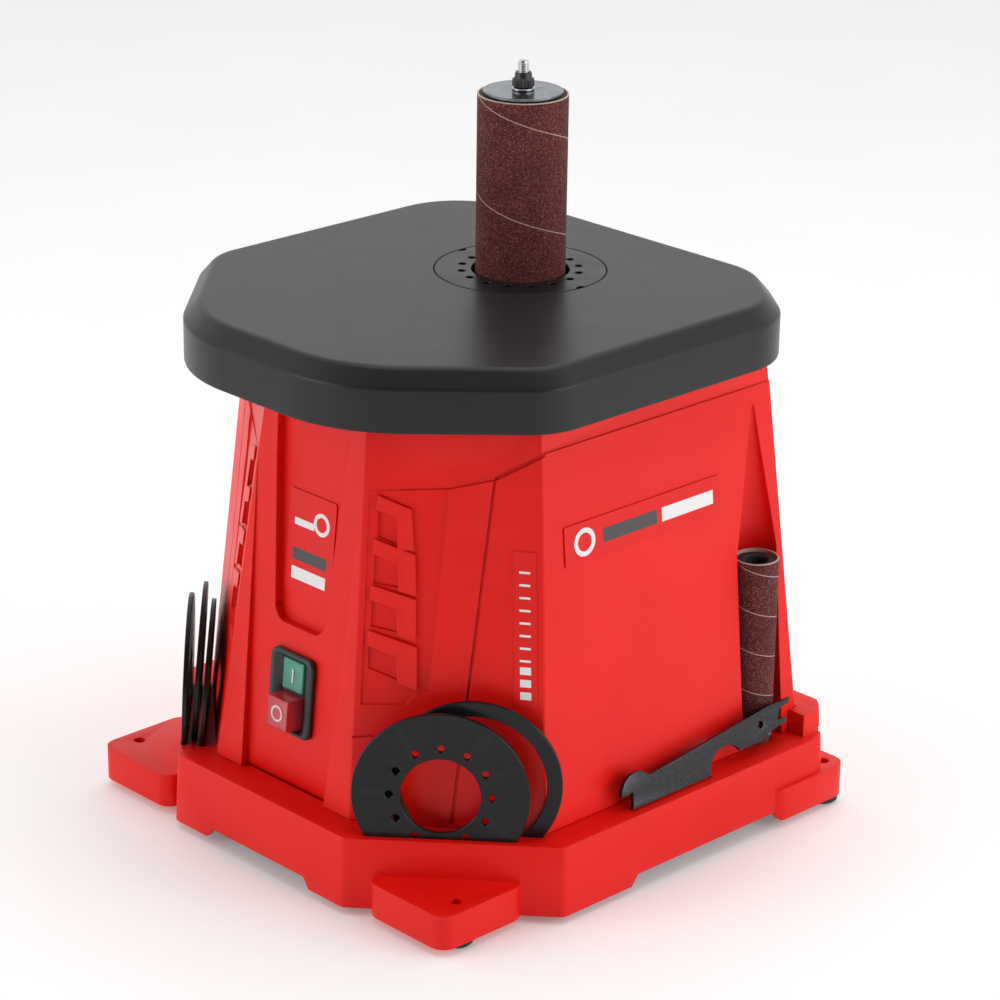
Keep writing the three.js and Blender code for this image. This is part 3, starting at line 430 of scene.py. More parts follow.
# ------------------------------------------------------------------ materials
class Nodes:
    """A material's node tree with short calls."""

    def __init__(self, name):
        self.material = bpy.data.materials.new(name)
        self.material.use_nodes = True
        self.tree = self.material.node_tree
        self.bsdf = self.tree.nodes["Principled BSDF"]
        self.coord = self.add("ShaderNodeTexCoord").outputs["Object"]

    def add(self, kind, **values):
        node = self.tree.nodes.new(kind)
        for key, value in values.items():
            setattr(node, key, value)
        return node

    def link(self, a, b):
        self.tree.links.new(a, b)

    def noise(self, scale, detail=2, stretch=None):
        node = self.add("ShaderNodeTexNoise")
        node.inputs["Scale"].default_value = scale
        node.inputs["Detail"].default_value = detail
        self.link(self.stretched(stretch), node.inputs["Vector"])
        return node.outputs["Fac"]

    def stretched(self, stretch):
        if stretch is None:
            return self.coord
        mapping = self.add("ShaderNodeMapping")
        mapping.inputs["Scale"].default_value = stretch
        self.link(self.coord, mapping.inputs["Vector"])
        return mapping.outputs["Vector"]

    def ramp(self, factor, stops):
        node = self.add("ShaderNodeValToRGB")
        elements = node.color_ramp.elements
        while len(elements) < len(stops):
            elements.new(0.5)
        for element, (place, colour) in zip(elements, stops):
            element.position = place
            element.color = (*colour, 1)
        self.link(factor, node.inputs["Fac"])
        return node.outputs["Color"]

    def span(self, factor, low, high):
        node = self.add("ShaderNodeMapRange")
        node.inputs["From Min"].default_value = 0.3
        node.inputs["From Max"].default_value = 0.7
        node.inputs["To Min"].default_value = low
        node.inputs["To Max"].default_value = high
        self.link(factor, node.inputs["Value"])
        return node.outputs["Result"]

    def math(self, operation, a, b=None):
        node = self.add("ShaderNodeMath", operation=operation)
        for socket, value in zip(node.inputs, (a, b)):
            if value is None:
                continue
            if isinstance(value, (int, float)):
                socket.default_value = value
            else:
                self.link(value, socket)
        return node.outputs[0]

    def mix(self, factor, a, b):
        node = self.add("ShaderNodeMix", data_type="RGBA")
        for name, value in (("Factor", factor), ("A", a), ("B", b)):
            socket = [s for s in node.inputs if s.name == name and s.enabled][0]
            if isinstance(value, tuple):
                socket.default_value = (*value, 1)
            elif isinstance(value, (int, float)):
                socket.default_value = value
            else:
                self.link(value, socket)
        return [s for s in node.outputs if s.enabled][0]

    def rounded_edges(self, radius):
        node = self.add("ShaderNodeBevel", samples=4)
        node.inputs["Radius"].default_value = radius * MM
        return node.outputs["Normal"]

    def bump(self, height, strength, distance, normal=None):
        node = self.add("ShaderNodeBump")
        node.inputs["Strength"].default_value = strength
        node.inputs["Distance"].default_value = distance * MM
        self.link(height, node.inputs["Height"])
        if normal:
            self.link(normal, node.inputs["Normal"])
        self.link(node.outputs["Normal"], self.bsdf.inputs["Normal"])

    def set(self, **values):
        for key, value in values.items():
            socket = self.bsdf.inputs[key.replace("_", " ")]
            if isinstance(value, (int, float, tuple)):
                socket.default_value = value
            else:
                self.link(value, socket)
        return self.material


def moulded(name, light, dark, roughness, grain=1500, bump=0.25, edge=0, specular=0.5, mottle=0.05):
    """Moulded plastic or paint: slow colour clouds, fine grain, a little wear on edges."""
    n = Nodes(name)
    clouds = n.ramp(n.noise(14, 4), [(0.35, dark), (0.68, light)])
    worn = n.add("ShaderNodeNewGeometry").outputs["Pointiness"]
    edges = n.ramp(worn, [(0.52, (0, 0, 0)), (0.6, (0.22, 0.22, 0.22))])
    pale = tuple(min(1, c * 1.25 + 0.03) for c in light)
    grains = n.noise(grain, 3)
    normal = n.rounded_edges(edge) if edge else None
    n.bump(grains, bump, 0.05, normal)
    return n.set(Base_Color=n.mix(edges, clouds, pale), Specular_IOR_Level=specular,
                 Roughness=n.span(n.noise(grain / 30, 3), roughness - mottle, roughness + mottle))


def metal(name, light, dark, roughness, stretch=(60, 60, 900), bump=0.15):
    """Machined or cast metal: streaks along one way in colour, gloss and bump."""
    n = Nodes(name)
    streaks = n.noise(3, 5, stretch)
    colour = n.ramp(streaks, [(0.3, dark), (0.7, light)])
    n.bump(streaks, bump, 0.03)
    return n.set(Base_Color=colour, Metallic=1.0,
                 Roughness=n.span(n.noise(400, 2), roughness - 0.06, roughness + 0.08))


def winding():
    n = Nodes("copper_wire")
    wave = n.add("ShaderNodeTexWave", bands_direction="Z")
    wave.inputs["Scale"].default_value = 260
    wave.inputs["Distortion"].default_value = 3
    n.link(n.coord, wave.inputs["Vector"])
    colour = n.ramp(wave.outputs["Fac"], [(0.1, (0.12, 0.03, 0.01)), (0.7, (0.62, 0.24, 0.08))])
    n.bump(wave.outputs["Fac"], 0.8, 0.4)
    return n.set(Base_Color=colour, Metallic=0.9, Roughness=0.35)


def abrasive(name, pitch, phase):
    """Coated abrasive: sharp grains over a red-brown ground, with a spiral seam."""
    n = Nodes(name)
    cells = n.add("ShaderNodeTexVoronoi")
    cells.inputs["Scale"].default_value = 1800
    n.link(n.coord, cells.inputs["Vector"])
    grain = n.add("ShaderNodeSeparateColor")
    n.link(cells.outputs["Color"], grain.inputs["Color"])
    colour = n.ramp(grain.outputs["Red"], [
        (0.0, (0.050, 0.010, 0.010)), (0.45, (0.13, 0.028, 0.026)),
        (0.85, (0.20, 0.050, 0.044)), (1.0, (0.33, 0.13, 0.12))])
    clouds = n.ramp(n.noise(60, 4), [(0.3, (0.72, 0.7, 0.7)), (0.7, (1.0, 1.0, 1.0))])
    tint = n.add("ShaderNodeMix", data_type="RGBA", blend_type="MULTIPLY")
    sockets = [s for s in tint.inputs if s.enabled]
    sockets[0].default_value = 1.0
    n.link(colour, sockets[1])
    n.link(clouds, sockets[2])
    shade_of = [s for s in tint.outputs if s.enabled][0]
    xyz = n.add("ShaderNodeSeparateXYZ")
    n.link(n.coord, xyz.inputs["Vector"])
    angle = n.math("ARCTAN2", xyz.outputs["Y"], xyz.outputs["X"])
    turns = n.math("ADD", n.math("DIVIDE", angle, 2 * math.pi), phase)
    climb = n.math("ADD", turns, n.math("DIVIDE", xyz.outputs["Z"], pitch * MM))
    ridge = n.math("ABSOLUTE", n.math("SUBTRACT", n.math("FRACT", climb), 0.5))
    wobble = n.math("MULTIPLY", n.noise(900, 1), 0.35 / pitch)
    seam = n.math("LESS_THAN", ridge, n.math("ADD", wobble, 0.12 / pitch))
    height = n.math("SUBTRACT", grain.outputs["Green"], seam)
    n.bump(height, 0.9, 0.35)
    return n.set(Base_Color=n.mix(seam, shade_of, (0.55, 0.38, 0.32)), Roughness=0.88,
                 Specular_IOR_Level=0.3)


def glowing_plastic(name, light, dark):
    """The translucent plastic of the push buttons."""
    n = Nodes(name)
    colour = n.ramp(n.noise(90, 3), [(0.3, dark), (0.7, light)])
    n.bump(n.noise(1200, 2), 0.1, 0.03)
    return n.set(Base_Color=colour, Roughness=0.22, Subsurface_Weight=0.35, Coat_Weight=0.4,
                 Subsurface_Radius=(0.004, 0.004, 0.004))


RED_LIGHT, RED_DARK = (0.82, 0.006, 0.002), (0.76, 0.004, 0.002)
M = {
    "red": moulded("red_plastic", RED_LIGHT, RED_DARK, 0.42, 900, 0.12, edge=0.8, specular=0.26),
    "plate_red": moulded("printed_red", (0.74, 0.004, 0.004), (0.70, 0.003, 0.003), 0.36, 1200, 0.1,
                         specular=0.22),
    "black": moulded("black_plastic", (0.012, 0.013, 0.014), (0.008, 0.009, 0.010), 0.34, 1300, 0.25),
    "table": moulded("table_paint", (0.017, 0.017, 0.018), (0.015, 0.015, 0.016), 0.34, 1500, 0.3,
                     specular=0.25, mottle=0.012),
    "insert": moulded("insert_plastic", (0.008, 0.008, 0.0085), (0.005, 0.005, 0.0055), 0.32, 1500, 0.3,
                      specular=0.25),
    "rubber": moulded("rubber", (0.022, 0.021, 0.021), (0.012, 0.012, 0.012), 0.7, 700, 0.5),
    "steel": metal("bright_steel", (0.68, 0.68, 0.70), (0.48, 0.48, 0.5), 0.28),
    "dark_steel": metal("dark_steel", (0.06, 0.06, 0.065), (0.03, 0.03, 0.033), 0.3, (300, 300, 300)),
    "washer": metal("polished_washer", (0.22, 0.24, 0.26), (0.14, 0.15, 0.17), 0.22, (40, 40, 40)),
    "cast": metal("cast_aluminium", (0.60, 0.61, 0.63), (0.42, 0.43, 0.45), 0.48, (300, 300, 300), 0.6),
    "brass": metal("gear_brass", (0.62, 0.46, 0.18), (0.5, 0.35, 0.12), 0.32, (200, 200, 200)),
    "copper": winding(),
    "grit": abrasive("abrasive_main", 55.6, 0.79),
    "grit_small": abrasive("abrasive_spare", 24.5, 0.2),
    "paper": moulded("cut_paper", (0.62, 0.52, 0.44), (0.42, 0.3, 0.24), 0.85, 900, 0.6),
    "green": glowing_plastic("start_green", (0.035, 0.30, 0.20), (0.02, 0.22, 0.15)),
    "stop": glowing_plastic("stop_red", (0.58, 0.035, 0.05), (0.48, 0.02, 0.035)),
    "white": moulded("white_print", (0.82, 0.80, 0.80), (0.74, 0.72, 0.72), 0.4, 1300, 0.1),
    "grey": moulded("grey_print", (0.05, 0.04, 0.042), (0.035, 0.03, 0.03), 0.4, 1300, 0.1),
    "mark": moulded("button_mark", (0.75, 0.62, 0.6), (0.62, 0.5, 0.48), 0.3, 1300, 0.1),
}


# ------------------------------------------------------------------ tower
def chamfer_point(side, u, z, out):
    """A point over a chamfer: u from the side face's edge, at a height, out from the surface."""
    outline = body_outline(z)
    corner, inner = Vector(outline[1]), Vector(outline[0])
    along = (inner - corner).normalized()
    point = corner + along * u + Vector((-along.y, along.x)) * out
    return (side * point.x, point.y, z)


def over_chamfer(side, levels):
    """A solid over a chamfer from rings of (u, z, out)."""
    return loft([[chamfer_point(side, u, z, out) for u, z, out in ring] for ring in levels])


def chamfer_cut(body, side, points, depths):
    rings = [[(u, z, -d) for (u, z), d in zip(points, depths)],
             [(u, z, 2 * PASS) for u, z in points]]
    cutter = finish_mesh("cutter", over_chamfer(side, rings), MACHINE, None)
    boolean(body, cutter, "DIFFERENCE")


def chamfer_bar(body, side, points):
    inner = offset(points[::-1], -BAR_SLOPE)[::-1]
    rings = [[(u, z, out) for u, z in ring] for ring, out in (
        (points, BAR_ROOT), (points, BAR_SHOULDER), (inner, BAR_FACE))]
    bar = finish_mesh("bar", over_chamfer(side, rings), MACHINE, None)
    boolean(body, bar, "UNION")


def strip(points, half):
    """A narrow band of even width along a line of points."""
    left, right = [], []
    for i, (u, z) in enumerate(points):
        a = Vector(points[max(i - 1, 0)])
        b = Vector(points[min(i + 1, len(points) - 1)])
        side = Vector((-(b - a).y, (b - a).x)).normalized() * half
        left.append((u + side.x, z + side.y))
        right.append((u - side.x, z - side.y))
    return left + right[::-1]


def relieve_chamfer(body, side):
    chamfer_cut(body, side, BAND, BAND_DEPTHS)
    chamfer_cut(body, side, PANEL, PANEL_DEPTHS)
    for well in WELLS:
        chamfer_cut(body, side, well, [WELL_DEPTH] * len(well))
    for bar in BARS:
        chamfer_bar(body, side, bar)
    for line, half, depth in GROOVES:
        groove = strip(line, half)
        chamfer_cut(body, side, groove, [depth] * len(groove))
    rings = [[(u, z, out) for u, z in strip(ARC, ARC_HALF)] for out in ARC_RISE]
    arc = finish_mesh("arc", over_chamfer(side, rings), MACHINE, None)
    boolean(body, arc, "UNION")


def seam_cut(body):
    """The band above the seam is set back on the sides and the back, and not in front."""
    top = BODY_TOP + PASS
    outer = body_outline(SEAM, -6)
    band = loft([ring_at(outer, SEAM), ring_at(outer, top),
                 ring_at(body_outline(top, SEAM_STEP), top),
                 ring_at(body_outline(SEAM, SEAM_STEP), SEAM)], closed=True)
    cutter = finish_mesh("seam", band, MACHINE, None)
    front = bmesh.new()
    bmesh.ops.create_cube(front, size=1)
    bmesh.ops.scale(front, vec=(400, 120, 60), verts=front.verts)
    bmesh.ops.translate(front, vec=(0, BODY_SEAM_HALF[1][1] - 60, SEAM + 10), verts=front.verts)
    boolean(cutter, finish_mesh("front", front, MACHINE, None), "DIFFERENCE")
    boolean(body, cutter, "DIFFERENCE")


def recess_lip(body):
    """The front recess has rounded lower corners: small fillets left in them."""
    half = RECESS_HALF[0] + 0.2
    middle = (half - RECESS_ROUND, RECESS_LOW + RECESS_ROUND)
    arc = [(middle[0] + RECESS_ROUND * math.cos(a), middle[1] - RECESS_ROUND * math.sin(a))
           for a in [math.pi / 2 * k / 8 for k in range(9)]]
    wedge = [(half + 1, RECESS_LOW - 1)] + arc
    for side in (-1, 1):
        rings = [[(side * x, front_y(z) + y, z) for x, z in wedge] for y in (0.05, RECESS_DEPTH + 1)]
        boolean(body, finish_mesh("fillet", loft(rings), MACHINE, None), "UNION")


def panel_block(rows, near, far):
    """A block over the middle of the front face, between two depths."""
    rings = []
    for z, half in rows:
        y0, y1 = front_y(z) + near, front_y(z) + far
        rings.append(ring_at([(-half, y0), (half, y0), (half, y1), (-half, y1)], z))
    return finish_mesh("block", loft(rings), MACHINE, None)


def recess_block(grow, near, far):
    low_half, high_half = RECESS_HALF
    rows = [(RECESS_LOW - grow, low_half + grow), (BODY_TOP + PASS, high_half + grow)]
    return panel_block(rows, near, far)


def trough_block(grow):
    """The spare sleeve's trough: open outwards, and tapering to a point above."""
    radius, steps = TROUGH_R + grow, 24
    tip_x, tip_z = TROUGH_TIP
    far_x = SPARE_X + TROUGH_REACH
    angles = [math.pi / 2 + math.pi * i / steps for i in range(steps + 1)]
    wide = [(SPARE_X + radius * math.cos(a), SPARE_Y + radius * math.sin(a)) for a in angles]
    wide += [(far_x, SPARE_Y - radius), (far_x, SPARE_Y + radius)]
    tip = [(tip_x, SPARE_Y + (1 + grow) * math.sin(a)) for a in angles]
    tip += [(far_x, SPARE_Y - 1 - grow), (far_x, SPARE_Y + 1 + grow)]
    rings = [ring_at(wide, DECK_TOP - 1), ring_at(wide, TROUGH_STRAIGHT), ring_at(tip, tip_z)]
    return finish_mesh("trough", loft(rings), MACHINE, None)


def rear_hole(radius, x, z):
    rings = [[(x + a, y, z + b) for a, b in circle(radius, 64)] for y in (60, 115)]
    return finish_mesh("bore", loft(rings), MACHINE, None)


def body_levels(low, high):
    return [low + (high - low) * k / BODY_STEPS for k in range(BODY_STEPS + 1)]


def tower_walls():
    rings = [ring_at(rounded(body_outline(z), BODY_ROUND, 4), z)
             for z in body_levels(DECK_TOP + GAP, BODY_TOP)]
    body = finish_mesh("tower", loft(rings), MACHINE, None)
    rings = [ring_at(body_outline(z, BODY_WALL), z) for z in body_levels(DECK_TOP, BODY_TOP + 1)]
    cavity = finish_mesh("cavity", loft(rings), MACHINE, None)
    boolean(cavity, trough_block(3), "DIFFERENCE")
    boolean(cavity, recess_block(3, -20, 8), "DIFFERENCE")
    boolean(body, cavity, "DIFFERENCE")
    return body


def tower_openings(body):
    boolean(body, panel_block(FRONT_PANEL, -12, 0), "DIFFERENCE")
    boolean(body, recess_block(0, -20, RECESS_DEPTH), "DIFFERENCE")
    boolean(body, trough_block(0), "DIFFERENCE")
    rings = [[(x, y, z) for x, z in rectangle(*SWITCH_HOLE)] for y in (-10, 20)]
    boolean(body, finish_mesh("switch_hole", loft(rings), SWITCH, None), "DIFFERENCE")
    for hole in (PORT_HOLE, CABLE_HOLE):
        boolean(body, rear_hole(*hole), "DIFFERENCE")


def weigh_normals(obj):
    modifier = obj.modifiers.new("normals", "WEIGHTED_NORMAL")
    modifier.keep_sharp = True
    apply_modifiers(obj)


def tower():
    body = tower_walls()
    for side in (1, -1):
        relieve_chamfer(body, side)
    tower_openings(body)
    recess_lip(body)
    seam_cut(body)
    body.data.materials.append(M["red"])
    shade(body, 24)
    weigh_normals(body)
    ride_for(body, "root", "body_shell")


# ------------------------------------------------------------------ table
def table():
    flat = mirror_x(TABLE_HALF)

    def edge(out, less):
        radii = [r - less for r in TABLE_ROUND + TABLE_ROUND[::-1]]
        return rounded(offset(flat, out), radii, 20)

    wall = TABLE_BEVEL - TABLE_WALL
    shoulder = TABLE_TOP - TABLE_BEVEL_DROP
    # The rim from below: out from the flat top's outline, less corner radius, and height.
    levels = [(TABLE_BEVEL - 1.2, 1, TABLE_BOTTOM), (TABLE_BEVEL - 0.35, 0.2, TABLE_BOTTOM + 0.35),
              (TABLE_BEVEL, 0, TABLE_BOTTOM + 1.3), (TABLE_BEVEL, 0, shoulder - 1.4),
              (TABLE_BEVEL - 0.12, 0, shoulder - 0.5), (TABLE_BEVEL - 0.6, 0.4, shoulder + 0.4),
              (TABLE_BEVEL - 1.4, 1, shoulder + 1.3), (1.4, 5, TABLE_TOP - 1.6),
              (0.2, 5.8, TABLE_TOP - 0.65), (-1.2, 6.6, TABLE_TOP - 0.15), (-3, 7.6, TABLE_TOP)]
    rings = [ring_at(edge(out, less), z) for out, less, z in levels]
    top = finish_mesh("table_top", loft(rings), MACHINE, None)
    cavity = loft([ring_at(edge(wall, 4), TABLE_BOTTOM - 1),
                   ring_at(edge(wall, 4), TABLE_TOP - TABLE_SKIN - 2),
                   ring_at(edge(wall - 2, 6), TABLE_TOP - TABLE_SKIN)])
    boolean(top, finish_mesh("cavity", cavity, MACHINE, None), "DIFFERENCE")
    bore = INSERT_R + INSERT_PLAY
    recess = [(bore, TABLE_TOP - INSERT_THICK - GAP), (bore, TABLE_TOP - 0.4), (bore + 0.6, TABLE_TOP + 0.2)]
    rings = [ring_at(circle(r, 128), z) for r, z in recess]
    boolean(top, finish_mesh("recess", loft(rings), MACHINE, None), "DIFFERENCE")
    opening = circle(INSERT_R - INSERT_SEAT, 128)
    through = loft([ring_at(opening, z) for z in (TABLE_BOTTOM, TABLE_TOP + 1)])
    boolean(top, finish_mesh("through", through, MACHINE, None), "DIFFERENCE")
    top.data.materials.append(M["table"])
    shade(top, 26)
    weigh_normals(top)
    ride_for(top, "root", "table")
    table_seat()


def table_seat():
    """The rim under the table that stands on the tower, and the bosses for its screws."""
    outer, inner = body_outline(BODY_TOP, -1), body_outline(BODY_TOP, TABLE_WALL)
    ceiling = TABLE_TOP - TABLE_SKIN + SINK
    seat = loft([ring_at(outer, TABLE_BOTTOM), ring_at(outer, ceiling), ring_at(inner, ceiling),
                 ring_at(inner, TABLE_BOTTOM)], closed=True)
    seat = finish_mesh("table_seat", seat, MACHINE, M["table"])
    notch = loft([ring_at(CHUTE_NOTCH, z) for z in (TABLE_BOTTOM - 5, TABLE_TOP - TABLE_SKIN - 0.2)])
    boolean(seat, finish_mesh("notch", notch, MACHINE, None), "DIFFERENCE")
    bevel(seat, 0.5)
    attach(seat, "root")
    for i, spot in enumerate(TABLE_SCREWS):
        bm = turn_profile(ring_profile(*BOSS, ceiling), 40, spot)
        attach(finish_mesh(f"table_boss_{i + 1}", bm, MACHINE, M["table"]), "root")


# ------------------------------------------------------------------ inserts
def insert_piece(name, hole, dust, pcd, matrix, body, node, turn=0.0, notches=False):
    """A round insert with a middle hole and a ring of dust holes, each with a broken edge."""
    edge, top = 0.35, INSERT_THICK
    bm = turn_profile(ring_profile(INSERT_R, hole, 0, top, edge), 144)
    plate = finish_mesh(name, bm, matrix, None)
    spots = [(pcd * math.cos(2 * math.pi * i / dust + turn),
              pcd * math.sin(2 * math.pi * i / dust + turn), DUST_R) for i in range(dust)]
    if notches:
        spots += [(s * (INSERT_R + INSERT_PLAY), 0, NOTCH_R) for s in (-1, 1)]
    for x, y, radius in spots:
        rings = [ring_at(circle(r, 24, (x, y)), z) for r, z in (
            (radius, -0.5), (radius, top - edge), (radius + edge, top), (radius + edge, top + 0.5))]
        boolean(plate, finish_mesh("hole", loft(rings), matrix, None), "DIFFERENCE")
    plate.data.materials.append(M["insert"])
    shade(plate, 28)
    ride_for(plate, body, node)


def inserts():
    top = MACHINE @ Matrix.Translation((0, 0, TABLE_TOP - INSERT_THICK))
    insert_piece("work_insert", 27.8, 16, 33.5, top, "insert", "table_insert", math.pi / 16, True)
    upright = Matrix.Translation((0, INSERT_THICK / 2, 0)) @ UPRIGHT
    for i, (side, along, inward, up, lean, hole, dust, pcd) in enumerate(STORED, 1):
        place = stored_frame(side, along, inward, up, lean) @ upright
        insert_piece(f"kept_insert_{i}", hole, dust, pcd, place, f"stored_{i}", f"stored_insert_{i}")


# ------------------------------------------------------------------ spindle
def sleeve_piece(name, radius, span, at, body, node, material):
    low, high = span
    steps = [low + (high - low) * k / 40 for k in range(41)]
    outer = [(radius, z) for z in steps[1:-1]]
    profile = [(radius - WALL, low), (radius - 0.25, low)] + outer
    profile += [(radius, high - 0.5), (radius - 0.15, high - 0.05), (radius - 0.5, high),
                (radius - WALL, high - 0.05)]
    bm = turn_profile([(r, z - low) for r, z in profile], 128)
    obj = finish_mesh(name, bm, Matrix.Scale(MM, 4), material)
    obj.data.materials.append(M["paper"])
    rim = (high - low - 0.3) * MM
    for face in obj.data.polygons:
        inside = Vector(face.center[:2]).length < (radius - WALL * 0.6) * MM
        if face.center.z > rim or inside:
            face.material_index = 1
    obj.location = MACHINE @ Vector((at[0], at[1], low))
    ride_for(obj, body, node)


def drum_piece(name, outer, inner, span, at, body, node):
    low, high = span
    profile = ring_profile(outer, inner, low, high, 1.1)
    rounder = (outer - 0.3, high - 0.35)
    profile.insert(5, rounder)
    obj = finish_mesh(name, turn_profile(profile, 96, at), MACHINE, M["rubber"])
    ride_for(obj, body, node)


def threaded_stud():
    """The spindle with its threaded tip."""
    shoulder = SLEEVE[1] - 0.5
    edge, sides = 0.5, 48
    full, less = circle(SPINDLE_R, sides), circle(SPINDLE_R - edge, sides)
    rings = [ring_at(less, SPINDLE_LOW), ring_at(full, SPINDLE_LOW + edge),
             ring_at(full, shoulder - edge), ring_at(less, shoulder)]
    for k in range(THREAD_ROWS + 1):
        z = shoulder + (STUD_TOP - 1 - shoulder) * k / THREAD_ROWS
        ring = []
        for i in range(sides):
            phase = z / THREAD_PITCH - i / sides
            depth = THREAD_DEPTH * (1 + math.cos(2 * math.pi * phase))
            angle = 2 * math.pi * i / sides
            ring.append(((STUD_R - depth) * math.cos(angle), (STUD_R - depth) * math.sin(angle), z))
        rings.append(ring)
    rings.append(ring_at(circle(STUD_R - 0.9, sides), STUD_TOP))
    obj = finish_mesh("spindle", loft(rings), MACHINE, M["steel"], 50)
    ride_for(obj, "spindle", "spindle_shaft")


def knurled_nut():
    low = SLEEVE[1] + NUT_LOW
    top = low + NUT_TIERS[-1][1]
    sides = 96
    rings = []
    for radius, up, knurled in NUT_TIERS:
        ring = []
        for i in range(sides):
            angle = 2 * math.pi * i / sides
            reach = radius + KNURL_HEIGHT * knurled * math.cos(angle * KNURLS)
            ring.append((reach * math.cos(angle), reach * math.sin(angle), low + up))
        rings.append(ring)
    bore = STUD_R + STUD_GAP / 2
    rings += [ring_at(circle(bore + 0.4, sides), top), ring_at(circle(bore, sides), top - 0.4),
              ring_at(circle(bore, sides), low)]
    obj = finish_mesh("spindle_nut_top", loft(rings, closed=True), MACHINE, M["black"], 30)
    ride_for(obj, "nut", "spindle_nut")


def spindle_stack():
    top = SLEEVE[1]
    sleeve_piece("main_sleeve", SLEEVE_R, SLEEVE, (0, 0), "sleeve", "sanding_sleeve", M["grit"])
    drum_piece("main_drum", SLEEVE_R - WALL - GAP, SPINDLE_R + STUD_GAP, (SLEEVE[0], top - 0.5), (0, 0),
               "drum", "rubber_drum")
    turned_ring("cap_washer", WASHER_R, STUD_R + STUD_GAP, top - 0.2, top + 1.8, M["washer"], "nut",
                "top_washer", 0.5)
    turned_ring("small_washer", 6.4, STUD_R + STUD_GAP, top + 2.1, top + 3.2, M["steel"], "nut",
                "spring_washer", 0.2, sides=64)
    turned_ring("base_washer", WASHER_R, SPINDLE_R + STUD_GAP, *BASE_WASHER, M["dark_steel"], "spindle",
                "drum_base_washer", 0.5)
    threaded_stud()
    knurled_nut()


def spare_set():
    at = (SPARE_X, SPARE_Y)
    sleeve_piece("spare_sleeve_top", SPARE_R, SPARE, at, "spare", "spare_sleeve", M["grit_small"])
    drum_piece("spare_drum_top", SPARE_R - WALL - GAP, SPINDLE_R + 0.4, (SPARE[0], SPARE[1] - 1.5), at,
               "spare", "spare_drum")


# ------------------------------------------------------------------ switch
def panel_ring(half_w, half_h, radius, out, cz=0.0):
    """A rounded rectangle in the front panel's frame; out is towards the operator."""
    return [(x, -out, z + cz) for x, z in rectangle(half_w, half_h, radius)]


def switch():
    rings = [panel_ring(*ring) for ring in SURROUND]
    housing = finish_mesh("switch_surround", loft(rings, closed=True), SWITCH, M["black"])
    ride_for(housing, "root", "switch_housing")
    bar = loft([panel_ring(8.9, 0.55, 0.2, out) for out in (-11.5, 0.4, 0.7)])
    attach(finish_mesh("switch_divider", bar, SWITCH, M["black"]), "root")
    button("start_cap", BUTTON_Z, START_OUT, M["green"], "start_button", "start_button")
    button("stop_cap", -BUTTON_Z, STOP_OUT, M["stop"], "stop_button", "stop_button")
    line = loft([panel_ring(0.55, 4.2, 0.3, START_OUT + up, BUTTON_Z) for up in (-0.6, MARK_LIFT)])
    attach(finish_mesh("start_mark", line, SWITCH, M["mark"]), "start_button")
    circle_mark = turn_profile(ring_profile(4.7, 3.5, 0, 0.7, 0.1), 48)
    place = SWITCH @ Matrix.Translation((0, 0.6 - STOP_OUT, -BUTTON_Z)) @ UPRIGHT
    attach(finish_mesh("stop_mark", circle_mark, place, M["mark"]), "stop_button")


def button(name, cz, out, material, body, node):
    """A cap with a rounded rim round a slightly sunk face."""
    rings = [panel_ring(8.6, 9.05, 0.6, -7, cz), panel_ring(8.6, 9.05, 0.8, out - 1.1, cz),
             panel_ring(8.35, 8.8, 0.9, out - 0.35, cz), panel_ring(7.8, 8.25, 0.8, out, cz),
             panel_ring(7.2, 7.65, 0.7, out - 0.05, cz), panel_ring(6.6, 7.1, 0.6, out - 0.3, cz)]
    cap = finish_mesh(name, loft(rings), SWITCH, material)
    ride_for(cap, body, node)


# ------------------------------------------------------------------ plates with plain marks
def plate_bars(name, rects, matrix, material, face):
    """Thin raised rectangles on a plate; face gives each corner's point and its lift."""
    bm = bmesh.new()
    for (u0, u1), (v0, v1) in rects:
        corners = ((u0, v0), (u1, v0), (u1, v1), (u0, v1))
        low, high = [[bm.verts.new(face(u, v, lift)) for u, v in corners] for lift in (0, MARK_LIFT)]
        bm.faces.new(low[::-1])
        bm.faces.new(high)
        for i in range(4):
            j = (i + 1) % 4
            bm.faces.new((low[i], low[j], high[j], high[i]))
    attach(finish_mesh(name, bm, matrix, material), "root")


def plate_ring(name, outer, inner, place):
    ring = turn_profile(ring_profile(outer, inner, 0, MARK_LIFT, MARK_LIFT / 4), 48)
    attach(finish_mesh(name, ring, place, M["white"]), "root")


def front_plate():
    depth = RECESS_DEPTH - PLATE_FACE
    rings = [[(x, y, z) for x, z in rectangle(*FRONT_PLATE)] for y in (RECESS_DEPTH - GAP, depth)]
    plate = finish_mesh("front_plate", loft(rings), FRONT_LABEL, M["plate_red"])
    ride_for(plate, "root", "front_label")

    def face(u, v, lift):
        return (u, depth + MARK_SINK - lift, v)

    white = [((-14, 14), (-22, -15)), ((-14, 2), (9, 13))]
    plate_bars("front_plate_white", white, FRONT_LABEL, M["white"], face)
    plate_bars("front_plate_grey", [((-14, 14), (-11, -4))], FRONT_LABEL, M["grey"], face)
    plate_ring("front_plate_ring", 6.5, 4.2,
               FRONT_LABEL @ Matrix.Translation((8, depth + MARK_SINK, 14)) @ UPRIGHT)


